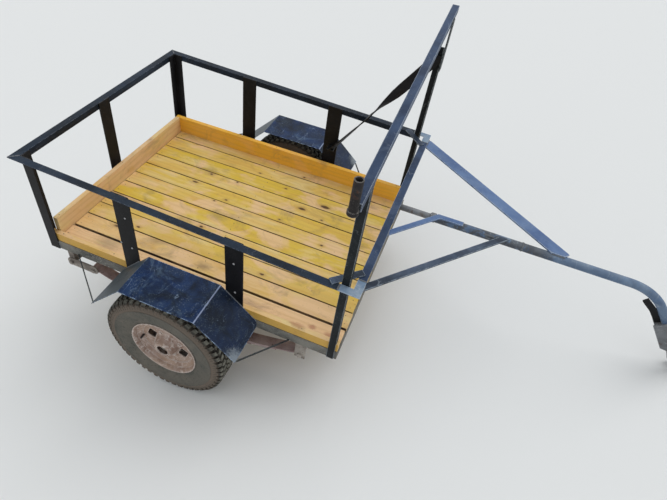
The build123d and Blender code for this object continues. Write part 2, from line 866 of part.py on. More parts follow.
bend_middle = (
    bend_start_x + bend_radius * sin(fall / 2),
    drawbar_z - bend_radius * (1 - cos(fall / 2)),
)
pipe_tail = 175.0
pipe_end = (bend_end[0] + pipe_tail * cos(fall), bend_end[1] - pipe_tail * sin(fall))
with BuildPart() as drawbar_pipe:
    with BuildLine(side(0)) as run:
        Line((pipe_start, drawbar_z), (bend_start_x, drawbar_z))
        ThreePointArc((bend_start_x, drawbar_z), bend_middle, bend_end)
        Line(bend_end, pipe_end)
    with BuildSketch(end(pipe_start)):
        with Locations((0, drawbar_z)):
            Circle(drawbar_radius)
    sweep(path=run.wires()[0])
    with BuildSketch(end(pipe_start)):
        with Locations((0, drawbar_z)):
            Circle(drawbar_bore)
    sweep(path=run.wires()[0], mode=Mode.SUBTRACT)
drawbar_pipe.part.label = "drawbar_pipe"
export_step(drawbar_pipe.part, "parts/drawbar_pipe.step")

# Flat braces from the front corners on to the top of the pipe, and a short strut beside them.
brace_foot_x = bed_length + 15.0
brace_table = (
    # name, width, thickness, plan line
    ("brace_right", 23.0, brace_thickness, ((brace_foot_x, 13.0 - half_width), (pipe_start + 252.0, 4.0))),
    ("brace_left", 50.0, brace_thickness, ((brace_foot_x + 4, half_width - 30.0), (pipe_start + 438.0, -6.0))),
    ("strut", 20.0, 5.0, ((brace_foot_x - 4, -188.0), (pipe_start + 14.0, -6.0), (pipe_start + 98.0, -6.0))),
)


def strip(points, width):
    # Plan outline of a flat that follows the line of points, mitred where it turns.
    rows = []
    for i, (x, y) in enumerate(points):
        steps = []
        if i > 0:
            steps.append((x - points[i - 1][0], y - points[i - 1][1]))
        if i < len(points) - 1:
            steps.append((points[i + 1][0] - x, points[i + 1][1] - y))
        normals = [(-b / hypot(a, b), a / hypot(a, b)) for a, b in steps]
        nx = sum(n[0] for n in normals)
        ny = sum(n[1] for n in normals)
        size = hypot(nx, ny)
        nx, ny = nx / size, ny / size
        reach = width / 2 / (nx * normals[0][0] + ny * normals[0][1])
        rows.append(((x + nx * reach, y + ny * reach), (x - nx * reach, y - ny * reach)))
    return [a for a, b in rows] + [b for a, b in reversed(rows)]


for name, width, thickness, line in brace_table:
    with BuildPart() as brace:
        with BuildSketch(top(brace_z)):
            outline(strip(line, width))
        extrude(amount=thickness)
    brace.part.label = name
    export_step(brace.part, f"parts/{name}.step")

# Hitch: two cheeks on the pipe's sides that end in a round nose with a cross hole,
# and a plate under the bend.
def along_fall(run, rise):
    # A point on the drawbar's falling end: run past the bend, rise above its axis.
    return (
        bend_end[0] + run * cos(fall) + rise * sin(fall),
        bend_end[1] - run * sin(fall) + rise * cos(fall),
    )


cheek_outline = (
    # run past the bend, rise above the axis
    (56.0, -38.0),
    (162.0, -40.0),
    (178.0, -24.0),
    (hitch_run, -hitch_nose_radius),
    (hitch_run, hitch_nose_radius),
    (162.0, 30.0),
    (56.0, 26.0),
)
cheek_corners = [along_fall(run, rise) for run, rise in cheek_outline]
boss_radius = 17.0
boss_height = 3.0
for hand_name, hand in hands:
    with BuildPart() as cheek:
        inner = drawbar_radius
        with BuildSketch(side_slab(hand, inner, inner + hitch_cheek)):
            outline(cheek_corners)
            with Locations((hitch_pin_x, hitch_pin_z)):
                Circle(hitch_nose_radius)
        extrude(amount=hitch_cheek)
        with BuildSketch(side_slab(hand, inner + hitch_cheek, inner + hitch_cheek + boss_height)):
            with Locations((hitch_pin_x, hitch_pin_z)):
                Circle(boss_radius)
        extrude(amount=boss_height)
        with BuildSketch(side_slab(hand, inner, inner + hitch_cheek + boss_height)):
            with Locations((hitch_pin_x, hitch_pin_z)):
                Circle(hitch_hole_radius)
        extrude(amount=hitch_cheek + boss_height, mode=Mode.SUBTRACT)
    cheek.part.label = f"hitch_cheek_{hand_name}"
    export_step(cheek.part, f"parts/hitch_cheek_{hand_name}.step")

gusset_thickness = 8.0
with BuildPart() as hitch_gusset:
    with BuildSketch(side(gusset_thickness / 2)):
        under = [
            along_fall(-52, -drawbar_radius - 13),
            along_fall(0, -drawbar_radius - 0.2),
            along_fall(55.8, -drawbar_radius - 0.2),
            along_fall(55.8, -34),
            along_fall(0, -36),
            along_fall(-46, -46),
        ]
        outline(under)
    extrude(amount=gusset_thickness)
hitch_gusset.part.label = "hitch_gusset"
export_step(hitch_gusset.part, "parts/hitch_gusset.step")

print("lean", round(degrees(lean), 3), "length", round(nose_front, 1))
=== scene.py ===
import math
import random

import bmesh
import bpy
from mathutils import Matrix, Vector

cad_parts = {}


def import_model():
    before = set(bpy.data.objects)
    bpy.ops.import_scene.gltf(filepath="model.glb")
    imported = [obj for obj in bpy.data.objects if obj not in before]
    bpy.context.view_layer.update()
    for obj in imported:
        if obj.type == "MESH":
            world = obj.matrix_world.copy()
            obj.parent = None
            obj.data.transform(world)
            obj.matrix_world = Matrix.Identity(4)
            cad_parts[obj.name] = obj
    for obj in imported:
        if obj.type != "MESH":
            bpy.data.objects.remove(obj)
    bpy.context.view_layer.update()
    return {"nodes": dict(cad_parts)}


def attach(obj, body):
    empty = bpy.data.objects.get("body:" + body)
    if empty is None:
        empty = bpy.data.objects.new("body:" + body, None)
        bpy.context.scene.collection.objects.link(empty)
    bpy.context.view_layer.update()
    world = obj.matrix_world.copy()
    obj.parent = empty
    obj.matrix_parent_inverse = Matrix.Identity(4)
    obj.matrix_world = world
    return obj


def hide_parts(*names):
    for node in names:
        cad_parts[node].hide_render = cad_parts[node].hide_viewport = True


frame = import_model()
nodes = frame["nodes"]
print("frame loaded:", len(nodes), "nodes")

# The trailer stands nose down. Level sizes below are in metres:
# x forward from the rear posts, y left, z up from the frame's foot.
stance = {
    "leanDegrees": 14.266513,
    "bedOrigin": (-1.137781, 0.0, 0.504910),
}
leanAngle = math.radians(stance["leanDegrees"])
levelToWorld = Matrix.Translation(stance["bedOrigin"]) @ Matrix.Rotation(leanAngle, 4, "Y")

bedSizes = {
    "length": 1.192,
    "halfWidth": 0.457,
    "railTop": 0.384,
    "rearRise": 0.043,
    "deckBase": 0.040,
    "deckTop": 0.058,
    "axleX": 0.591,
    "axleZ": -0.121,
    "wheelCentreY": 0.557,
}


def world(x, y, z):
    return levelToWorld @ Vector((x, y, z))


def newPiece(name, mesh, material, body="chassis", standsFor=()):
    piece = bpy.data.objects.new(name, mesh)
    bpy.context.scene.collection.objects.link(piece)
    mesh.materials.clear()
    mesh.materials.append(material)
    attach(piece, body)
    if standsFor:
        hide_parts(*standsFor)
    return piece


def addNode(tree, kind, **settings):
    # in_Some_Name sets the input called Some Name. Any other setting is the node's own.
    node = tree.nodes.new(kind)
    for key, value in settings.items():
        if key.startswith("in_"):
            node.inputs[key[3:].replace("_", " ")].default_value = value
        else:
            setattr(node, key, value)
    return node


def mathNode(tree, operation, a, b=None, clamp=False):
    node = addNode(tree, "ShaderNodeMath", operation=operation, use_clamp=clamp)
    for index, value in enumerate((a, b)):
        if value is None:
            continue
        if isinstance(value, (int, float)):
            node.inputs[index].default_value = value
        else:
            tree.links.new(value, node.inputs[index])
    return node.outputs[0]


def times(tree, a, b, clamp=False):
    return mathNode(tree, "MULTIPLY", a, b, clamp)


def plus(tree, a, b, clamp=False):
    return mathNode(tree, "ADD", a, b, clamp)


def minus(tree, a, b):
    return mathNode(tree, "SUBTRACT", a, b)


def splitNode(tree, vector):
    node = addNode(tree, "ShaderNodeSeparateXYZ")
    tree.links.new(vector, node.inputs[0])
    return node.outputs


def mixColour(tree, factor, a, b):
    node = addNode(tree, "ShaderNodeMix", data_type="RGBA")
    for socket, value in ((node.inputs[0], factor), (node.inputs[6], a), (node.inputs[7], b)):
        if isinstance(value, (int, float)):
            socket.default_value = value
        elif isinstance(value, (tuple, list)):
            socket.default_value = (*value[:3], 1.0)
        else:
            tree.links.new(value, socket)
    return node.outputs[2]


def remap(tree, value, low, high, toLow=0.0, toHigh=1.0):
    node = addNode(tree, "ShaderNodeMapRange", in_From_Min=low, in_From_Max=high, in_To_Min=toLow, in_To_Max=toHigh)
    tree.links.new(value, node.inputs["Value"])
    return node.outputs["Result"]


def noiseNode(tree, vector, scale, detail=4.0, roughness=0.55, distortion=0.0):
    node = addNode(tree, "ShaderNodeTexNoise", in_Detail=detail, in_Roughness=roughness, in_Distortion=distortion)
    tree.links.new(vector, node.inputs["Vector"])
    if isinstance(scale, float):
        node.inputs["Scale"].default_value = scale
    else:
        tree.links.new(scale, node.inputs["Scale"])
    return node.outputs["Fac"]


def newMaskGroup(name, **defaults):
    # A shader group that turns a vector and some amounts into one mask.
    group = bpy.data.node_groups.new(name, "ShaderNodeTree")
    group.interface.new_socket(name="Vector", in_out="INPUT", socket_type="NodeSocketVector")
    for label, value in defaults.items():
        group.interface.new_socket(name=label, in_out="INPUT", socket_type="NodeSocketFloat").default_value = value
    group.interface.new_socket(name="Mask", in_out="OUTPUT", socket_type="NodeSocketFloat")
    entry, leave = group.nodes.new("NodeGroupInput").outputs, group.nodes.new("NodeGroupOutput").inputs
    return group, entry, leave


def levelVector(tree):
    # Object coordinates turned back into the level frame, so grain and dirt follow the bed.
    coords = addNode(tree, "ShaderNodeTexCoord")
    turn = addNode(
        tree, "ShaderNodeMapping", vector_type="TEXTURE", in_Location=stance["bedOrigin"],
        in_Rotation=(0.0, leanAngle, 0.0),
    )
    tree.links.new(coords.outputs["Object"], turn.inputs["Vector"])
    return turn.outputs["Vector"]


def buildEdgeWear():
    # Mask of worn, chipped edges: where a rounded normal leaves the true one, broken up by noise.
    group, entry, leave = newMaskGroup("edgeWear", Radius=0.003, Amount=0.6, Scale=60.0)
    bevel = addNode(group, "ShaderNodeBevel", samples=6)
    group.links.new(entry["Radius"], bevel.inputs["Radius"])
    dot = addNode(group, "ShaderNodeVectorMath", operation="DOT_PRODUCT")
    group.links.new(bevel.outputs["Normal"], dot.inputs[0])
    group.links.new(addNode(group, "ShaderNodeNewGeometry").outputs["Normal"], dot.inputs[1])
    edge = remap(group, dot.outputs["Value"], 0.997, 0.90)
    grit = noiseNode(group, entry["Vector"], entry["Scale"], 6.0, 0.62)
    chips = times(group, minus(group, grit, minus(group, 1.0, entry["Amount"])), 7.0, clamp=True)
    group.links.new(times(group, edge, chips, clamp=True), leave["Mask"])
    return group


def buildUpDust():
    # Dust that settles on faces that look up, in clouds.
    group, entry, leave = newMaskGroup("upDust", Amount=0.5, Scale=9.0, Floor=0.25)
    coords = addNode(group, "ShaderNodeTexCoord")
    up = remap(group, splitNode(group, coords.outputs["Normal"])["Z"], 0.2, 0.95)
    cloud = remap(group, noiseNode(group, entry["Vector"], entry["Scale"], 7.0, 0.66, 0.4), 0.42, 0.68)
    settled = times(group, up, mathNode(group, "MAXIMUM", cloud, entry["Floor"]))
    group.links.new(times(group, settled, entry["Amount"], clamp=True), leave["Mask"])
    return group


def buildSpatter():
    # Fine mud flecks and dried drops, in two sizes.
    group, entry, leave = newMaskGroup("mudSpatter", Scale=120.0, Amount=0.5)
    masks = []
    for factor, size in ((1.0, 0.34), (0.37, 0.30)):
        scale = times(group, entry["Scale"], factor)
        cells = addNode(group, "ShaderNodeTexVoronoi", in_Randomness=1.0)
        group.links.new(entry["Vector"], cells.inputs["Vector"])
        group.links.new(scale, cells.inputs["Scale"])
        drops = remap(group, cells.outputs["Distance"], size, size * 0.6)
        patch = remap(group, noiseNode(group, entry["Vector"], times(group, scale, 0.11), 3.0, 0.5), 0.45, 0.62)
        masks.append(times(group, drops, patch))
    group.links.new(times(group, mathNode(group, "MAXIMUM", *masks), entry["Amount"], clamp=True), leave["Mask"])
    return group


def buildScratches():
    # Thin curved scratches: the level lines of two soft noises, kept only in patches.
    group, entry, leave = newMaskGroup("hairScratches", Scale=14.0, Amount=0.5)
    masks = []
    for factor, turn in ((1.0, 0.4), (2.3, 1.9)):
        turned = addNode(group, "ShaderNodeMapping", in_Rotation=(0.3, turn, turn * 1.7), in_Scale=(1.0, 0.30, 1.0))
        group.links.new(entry["Vector"], turned.inputs["Vector"])
        wave = noiseNode(group, turned.outputs["Vector"], times(group, entry["Scale"], factor), 3.5, 0.55, 0.3)
        line = remap(group, mathNode(group, "ABSOLUTE", minus(group, wave, 0.5)), 0.0, 0.007, 0.8, 0.0)
        where = noiseNode(group, turned.outputs["Vector"], times(group, entry["Scale"], 1.6), 3.0, 0.6)
        masks.append(times(group, line, remap(group, where, 0.53, 0.64)))
    group.links.new(times(group, mathNode(group, "MAXIMUM", *masks), entry["Amount"], clamp=True), leave["Mask"])
    return group


edgeWear = buildEdgeWear()
upDust = buildUpDust()
mudSpatter = buildSpatter()
hairScratches = buildScratches()


def useGroup(tree, group, vector, **values):
    node = addNode(tree, "ShaderNodeGroup", node_tree=group)
    tree.links.new(vector, node.inputs["Vector"])
    for key, value in values.items():
        node.inputs[key].default_value = value
    return node.outputs["Mask"]


def startMaterial(name):
    material = bpy.data.materials.new(name)
    material.use_nodes = True
    return material, material.node_tree, material.node_tree.nodes["Principled BSDF"]


def bumpInto(tree, shader, height, strength, distance):
    bump = addNode(tree, "ShaderNodeBump", in_Strength=strength, in_Distance=distance)
    tree.links.new(height, bump.inputs["Height"])
    tree.links.new(bump.outputs["Normal"], shader.inputs["Normal"])


# Worn paint. Colours are linear; amounts run from 0 to 1; the wear radius is in metres.
paints = {
    "black": {
        "paint": (0.0035, 0.0035, 0.0042), "second": (0.008, 0.008, 0.010), "edge": (0.16, 0.16, 0.17),
        "rust": (0.05, 0.03, 0.02), "dust": (0.06, 0.06, 0.062), "mud": (0.12, 0.11, 0.10),
        "dustAmount": 0.22, "wear": 0.50, "wearRadius": 0.0016, "spatter": 0.12,
        "scuff": 0.12, "rustAmount": 0.05, "rough": 0.50, "gloss": 0.16,
    },
    "teal": {
        "paint": (0.0055, 0.0075, 0.0090), "second": (0.014, 0.019, 0.022), "edge": (0.30, 0.33, 0.34),
        "rust": (0.05, 0.04, 0.035), "dust": (0.075, 0.085, 0.090), "mud": (0.16, 0.15, 0.14),
        "dustAmount": 0.35, "wear": 0.66, "wearRadius": 0.0030, "spatter": 0.15,
        "scuff": 0.35, "rustAmount": 0.08, "rough": 0.52, "gloss": 0.16,
    },
    "navy": {
        "paint": (0.005, 0.010, 0.018), "second": (0.012, 0.024, 0.046), "edge": (0.20, 0.23, 0.28),
        "rust": (0.05, 0.04, 0.035), "dust": (0.055, 0.070, 0.085), "mud": (0.14, 0.13, 0.12),
        "dustAmount": 0.26, "wear": 0.58, "wearRadius": 0.0020, "spatter": 0.15,
        "scuff": 0.30, "rustAmount": 0.05, "rough": 0.48, "gloss": 0.14,
    },
    "deepBlue": {
        "paint": (0.014, 0.030, 0.070), "second": (0.034, 0.065, 0.135), "edge": (0.40, 0.45, 0.52),
        "rust": (0.05, 0.05, 0.055), "dust": (0.12, 0.15, 0.21), "mud": (0.22, 0.21, 0.20),
        "dustAmount": 0.14, "wear": 0.68, "wearRadius": 0.0030, "spatter": 0.12,
        "scuff": 0.45, "rustAmount": 0.05, "rough": 0.45, "gloss": 0.16,
    },
    "fender": {
        "paint": (0.0035, 0.0080, 0.021), "second": (0.0075, 0.026, 0.090), "edge": (0.30, 0.40, 0.55),
        "rust": (0.018, 0.020, 0.026), "dust": (0.095, 0.15, 0.23), "mud": (0.20, 0.25, 0.29),
        "dustAmount": 0.14, "wear": 0.56, "wearRadius": 0.0045, "spatter": 0.30,
        "scuff": 0.75, "rustAmount": 0.10, "rough": 0.42, "gloss": 0.13,
        "blotches": 13.0, "rubbed": (0.30, 0.34, 0.37), "fold": (0.33, 0.38, 0.55),
        "rearFaceTone": (0.055, 0.072, 0.080), "frontFaceTone": (0.018, 0.024, 0.036),
    },
    "blue": {
        "paint": (0.058, 0.112, 0.25), "second": (0.100, 0.175, 0.34), "edge": (0.46, 0.53, 0.62),
        "rust": (0.06, 0.06, 0.07), "dust": (0.26, 0.32, 0.42), "mud": (0.26, 0.25, 0.24),
        "dustAmount": 0.22, "wear": 0.66, "wearRadius": 0.0028, "spatter": 0.12,
        "scuff": 0.40, "rustAmount": 0.08, "rough": 0.42, "gloss": 0.20,
    },
    "paleBlue": {
        "paint": (0.13, 0.20, 0.30), "second": (0.22, 0.30, 0.40), "edge": (0.52, 0.58, 0.64),
        "rust": (0.08, 0.08, 0.09), "dust": (0.36, 0.42, 0.48), "mud": (0.26, 0.25, 0.24),
        "dustAmount": 0.50, "wear": 0.70, "wearRadius": 0.0030, "spatter": 0.15,
        "scuff": 0.60, "rustAmount": 0.15, "rough": 0.50, "gloss": 0.20,
    },
    "slate": {
        "paint": (0.011, 0.019, 0.034), "second": (0.050, 0.075, 0.125), "edge": (0.36, 0.42, 0.48),
        "rust": (0.06, 0.05, 0.05), "dust": (0.15, 0.19, 0.25), "mud": (0.22, 0.21, 0.19),
        "dustAmount": 0.20, "wear": 0.62, "wearRadius": 0.0026, "spatter": 0.15,
        "scuff": 0.50, "rustAmount": 0.15, "rough": 0.48, "gloss": 0.18,
    },
    "pipe": {
        "paint": (0.065, 0.115, 0.21), "second": (0.15, 0.22, 0.33), "edge": (0.45, 0.50, 0.55),
        "rust": (0.085, 0.092, 0.108), "dust": (0.36, 0.41, 0.45), "mud": (0.26, 0.24, 0.21),
        "dustAmount": 0.34, "wear": 0.62, "wearRadius": 0.0025, "spatter": 0.35,
        "scuff": 0.80, "rustAmount": 0.98, "rough": 0.55, "gloss": 0.20,
        "rustEnd": 1.74,
    },
    "rusty": {
        "paint": (0.014, 0.012, 0.012), "second": (0.032, 0.028, 0.028), "edge": (0.30, 0.28, 0.26),
        "rust": (0.075, 0.040, 0.028), "dust": (0.13, 0.12, 0.115), "mud": (0.20, 0.18, 0.16),
        "dustAmount": 0.30, "wear": 0.64, "wearRadius": 0.0025, "spatter": 0.20,
        "scuff": 0.40, "rustAmount": 0.60, "rough": 0.60, "gloss": 0.20,
    },
    "bareSteel": {
        "paint": (0.095, 0.10, 0.11), "second": (0.19, 0.20, 0.215), "edge": (0.52, 0.53, 0.55),
        "rust": (0.10, 0.075, 0.062), "dust": (0.32, 0.33, 0.34), "mud": (0.28, 0.25, 0.21),
        "dustAmount": 0.30, "wear": 0.68, "wearRadius": 0.0030, "spatter": 0.35,
        "scuff": 0.70, "rustAmount": 0.62, "rough": 0.50, "gloss": 0.45,
    },
    "frame": {
        "paint": (0.085, 0.086, 0.080), "second": (0.22, 0.21, 0.185), "edge": (0.30, 0.29, 0.26),
        "rust": (0.12, 0.09, 0.07), "dust": (0.26, 0.25, 0.22), "mud": (0.33, 0.31, 0.28),
        "dustAmount": 0.45, "wear": 0.50, "wearRadius": 0.0022, "spatter": 1.00,
        "scuff": 0.60, "rustAmount": 0.35, "rough": 0.75, "gloss": 0.20,
    },
}


def makePaint(name):
    look = paints[name]
    material, tree, shader = startMaterial(name + "Paint")
    level = levelVector(tree)
    broad = noiseNode(tree, level, look.get("blotches", 7.0), 7.0, 0.66, 0.6)
    colour = mixColour(tree, remap(tree, broad, 0.40, 0.62), look["paint"], look["second"])
    rustClouds = noiseNode(tree, level, 26.0, 8.0, 0.68, 0.6)
    rustLow = 0.72 - 0.30 * look["rustAmount"]
    rustMask = remap(tree, rustClouds, rustLow, rustLow + 0.07)
    if "rustEnd" in look:
        along = splitNode(tree, level)["X"]
        nearRoot = remap(tree, along, look["rustEnd"] + 0.04, look["rustEnd"] - 0.04, 0.15, 1.0)
        rustMask = times(tree, rustMask, nearRoot)
    colour = mixColour(tree, rustMask, colour, look["rust"])
    dustMask = useGroup(tree, upDust, level, Amount=look["dustAmount"], Scale=14.0, Floor=0.12)
    colour = mixColour(tree, dustMask, colour, look["dust"])
    # Scuffs come in two sizes: long smeared streaks, and patches of thin scratches.
    scuff = remap(tree, noiseNode(tree, level, 9.0, 12.0, 0.74, 1.8), 0.56, 0.72, 0.0, look["scuff"])
    scratch = noiseNode(tree, level, 60.0, 9.0, 0.8, 2.4)
    thin = remap(tree, scratch, 0.61, 0.68, 0.0, look["scuff"])
    scuffMask = mathNode(tree, "MAXIMUM", scuff, times(tree, thin, 0.75))
    colour = mixColour(tree, scuffMask, colour, look["dust"])
    lines = useGroup(tree, hairScratches, level, Scale=14.0, Amount=look["scuff"])
    colour = mixColour(tree, lines, colour, look["edge"])
    if "rearFaceTone" in look:
        # The fender's faces behind the rear fold and ahead of the front fold get tones of their own, and its outer
        # front corner is rubbed pale.
        along = splitNode(tree, level)["X"]
        behind = remap(tree, along, bedSizes["axleX"] - 0.122, bedSizes["axleX"] - 0.130, 0.0, 0.85)
        colour = mixColour(tree, behind, colour, look["rearFaceTone"])
        ahead = remap(tree, along, bedSizes["axleX"] + 0.156, bedSizes["axleX"] + 0.162, 0.0, 0.50)
        colour = mixColour(tree, ahead, colour, look["frontFaceTone"])
        folded = addNode(tree, "ShaderNodeVectorMath", operation="ABSOLUTE")
        tree.links.new(level, folded.inputs[0])
        corner = addNode(tree, "ShaderNodeVectorMath", operation="DISTANCE")
        corner.inputs[1].default_value = (bedSizes["axleX"] + 0.300, bedSizes["halfWidth"] + 0.170, 0.038)
        tree.links.new(folded.outputs["Vector"], corner.inputs[0])
        ragged = plus(tree, corner.outputs["Value"], times(tree, scratch, 0.13))
        rubbed = remap(tree, ragged, 0.112, 0.080, 0.0, 0.66)
        colour = mixColour(tree, rubbed, colour, look["rubbed"])
        fromFold = mathNode(tree, "ABSOLUTE", minus(tree, along, bedSizes["axleX"] + 0.158))
        foldLine = plus(tree, fromFold, times(tree, scratch, 0.004))
        colour = mixColour(tree, remap(tree, foldLine, 0.0046, 0.0030, 0.0, 0.85), colour, look["fold"])
    spatterMask = useGroup(tree, mudSpatter, level, Scale=340.0, Amount=look["spatter"])
    colour = mixColour(tree, spatterMask, colour, look["mud"])
    wearMask = useGroup(tree, edgeWear, level, Radius=look["wearRadius"], Amount=look["wear"], Scale=70.0)
    colour = mixColour(tree, wearMask, colour, look["edge"])
    tree.links.new(colour, shader.inputs["Base Color"])
    dull = mathNode(tree, "MAXIMUM", mathNode(tree, "MAXIMUM", dustMask, rustMask), scuffMask)
    roughness = plus(tree, times(tree, dull, 0.35), look["rough"], clamp=True)
    tree.links.new(roughness, shader.inputs["Roughness"])
    shader.inputs["Specular IOR Level"].default_value = look["gloss"]
    relief = plus(tree, times(tree, rustMask, -0.5), times(tree, spatterMask, 0.8))
    relief = minus(tree, relief, times(tree, wearMask, 0.4))
    relief = plus(tree, relief, times(tree, broad, 0.8))
    bumpInto(tree, shader, relief, 0.5, 0.0006)
    return material


# Mud, rubber and the rim's paint, with painted shade in the tyre's grooves and inside the rim, and a painted
# highlight on the knob tops.
muds = {
    "pinkMud": {
        "steel": (0.085, 0.058, 0.055), "mudDark": (0.26, 0.18, 0.175), "mudPale": (0.42, 0.32, 0.305),
        "rough": 0.88,
    },
    "greyMud": {
        "steel": (0.060, 0.052, 0.046), "mudDark": (0.17, 0.145, 0.125), "mudPale": (0.37, 0.33, 0.29),
        "rough": 0.88,
    },
}


def makeMuddySteel(name):
    look = muds[name]
    material, tree, shader = startMaterial(name)
    level = levelVector(tree)
    broad = noiseNode(tree, level, 14.0, 6.0, 0.62, 0.5)
    fine = noiseNode(tree, level, 95.0, 6.0, 0.7, 0.3)
    colour = mixColour(tree, remap(tree, broad, 0.4, 0.62), look["mudDark"], look["mudPale"])
    bare = remap(tree, fine, 0.60, 0.66)
    colour = mixColour(tree, bare, colour, look["steel"])
    tree.links.new(colour, shader.inputs["Base Color"])
    shader.inputs["Roughness"].default_value = look["rough"]
    relief = plus(tree, times(tree, broad, 1.5), fine)
    bumpInto(tree, shader, relief, 0.7, 0.0015)
    return material


def makeTyreRubber():
    look = {
        "rubber": (0.026, 0.025, 0.023), "dust": (0.072, 0.074, 0.064), "mud": (0.135, 0.122, 0.100), "rough": 0.92,
        "brown": (0.165, 0.118, 0.088), "paintedGrooveShade": (0.012, 0.012, 0.010), "top": (0.23, 0.225, 0.185),
    }
    material, tree, shader = startMaterial("tyreRubber")
    level = levelVector(tree)
    clouds = noiseNode(tree, level, 12.0, 6.0, 0.65, 0.4)
    colour = mixColour(tree, remap(tree, clouds, 0.3, 0.6), look["dust"], look["mud"])
    fine = noiseNode(tree, level, 130.0, 5.0, 0.7, 0.0)
    bare = remap(tree, fine, 0.54, 0.64, 0.0, 0.55)
    colour = mixColour(tree, bare, colour, look["rubber"])
    # treadShade is 0 on the side, about 0.5 on the shoulder, 0.8 in the grooves and 1 on the knob tops; the grooves
    # take painted shade and the knob tops a painted highlight.
    shade = addNode(tree, "ShaderNodeAttribute", attribute_name="treadShade")
    shoulder = remap(tree, shade.outputs["Fac"], 0.15, 0.45)
    paintedGrooveShade = remap(tree, shade.outputs["Fac"], 0.55, 0.8)
    knob = remap(tree, shade.outputs["Fac"], 0.85, 1.0)
    colour = mixColour(tree, times(tree, shoulder, 0.65), colour, look["brown"])
    # Painted shade in the grooves.
    colour = mixColour(tree, times(tree, paintedGrooveShade, 0.9), colour, look["paintedGrooveShade"])
    # Painted highlight, in patches, on the knob tops.
    patchy = noiseNode(tree, level, 60.0, 3.0, 0.6, 0.0)
    tops = times(tree, knob, remap(tree, patchy, 0.40, 0.60, 0.30, 1.0))
    colour = mixColour(tree, tops, colour, look["top"])
    wearMask = useGroup(tree, edgeWear, level, Radius=0.003, Amount=0.7, Scale=50.0)
    colour = mixColour(tree, wearMask, colour, look["mud"])
    tree.links.new(colour, shader.inputs["Base Color"])
    shader.inputs["Roughness"].default_value = look["rough"]
    bumpInto(tree, shader, plus(tree, clouds, times(tree, fine, 0.6)), 0.6, 0.0012)
    return material


def makeDustyRimWithPaintedShade():
    look = {
        "paint": (0.26, 0.165, 0.125), "dust": (0.40, 0.295, 0.250), "pale": (0.66, 0.59, 0.54),
        "dark": (0.13, 0.082, 0.065), "behind": (0.030, 0.020, 0.016), "warm": (0.42, 0.285, 0.20), "rough": 0.8,
    }
    material, tree, shader = startMaterial("dustyRimPaintedShade")
    level = levelVector(tree)
    clouds = noiseNode(tree, level, 16.0, 6.0, 0.6, 0.5)
    colour = mixColour(tree, remap(tree, clouds, 0.35, 0.62), look["dust"], look["paint"])
    fine = noiseNode(tree, level, 80.0, 7.0, 0.7, 0.2)
    colour = mixColour(tree, remap(tree, fine, 0.60, 0.68, 0.0, 0.7), colour, look["dark"])
    streaks = noiseNode(tree, level, 38.0, 8.0, 0.72, 1.5)
    colour = mixColour(tree, remap(tree, streaks, 0.50, 0.62, 0.0, 0.85), colour, look["pale"])
    out = mathNode(tree, "ABSOLUTE", splitNode(tree, level)["Y"])
    # Painted shade: the rim's inboard side, seen through the disc's windows, is darkened almost to black.
    behind = remap(tree, out, bedSizes["wheelCentreY"] + 0.0205, bedSizes["wheelCentreY"] + 0.0175, 0.0, 0.92)
    colour = mixColour(tree, behind, colour, look["behind"])
    warm = noiseNode(tree, level, 9.0, 3.0, 0.5, 0.3)
    colour = mixColour(tree, remap(tree, warm, 0.48, 0.62, 0.0, 0.5), colour, look["warm"])
    wearMask = useGroup(tree, edgeWear, level, Radius=0.005, Amount=0.78, Scale=40.0)
    colour = mixColour(tree, wearMask, colour, look["pale"])
    tree.links.new(colour, shader.inputs["Base Color"])
    shader.inputs["Roughness"].default_value = look["rough"]
    bumpInto(tree, shader, plus(tree, clouds, fine), 0.4, 0.0008)
    return material


# Deck wood.
woods = {
    "yellow": (0.66, 0.45, 0.050),
    "orange": (0.86, 0.42, 0.040),
    "face": (0.62, 0.36, 0.060),
    "amber": (0.62, 0.34, 0.065),
    "pinkish": (0.76, 0.50, 0.275),
    "pale": (0.74, 0.57, 0.26),
    "latewood": (0.40, 0.215, 0.060),
    "red": (0.34, 0.12, 0.070),
    "knot": (0.060, 0.026, 0.014),
    "stain": (0.20, 0.135, 0.085),
    "gap": (0.045, 0.022, 0.014),
}
knots = (   # x, y and radius in level metres
    (0.346, 0.170, 0.0050), (0.475, 0.175, 0.0045), (0.534, 0.285, 0.0042), (0.482, -0.148, 0.0062),
    (0.268, -0.265, 0.0050), (0.726, 0.357, 0.0045), (0.490, 0.044, 0.0050), (0.813, -0.267, 0.0058),
    (0.745, 0.041, 0.0040), (0.448, 0.016, 0.0038), (0.685, 0.240, 0.0045), (0.960, -0.020, 0.0048),
    (1.020, 0.215, 0.0042), (0.905, 0.120, 0.0040),
)
redMarks = ((1.141, -0.412, 0.012), (1.028, -0.430, 0.020), (1.075, -0.405, 0.011))
greyMarks = ((0.225, -0.392, 0.040), (0.330, 0.185, 0.028), (0.600, -0.330, 0.022), (0.510, -0.060, 0.030))


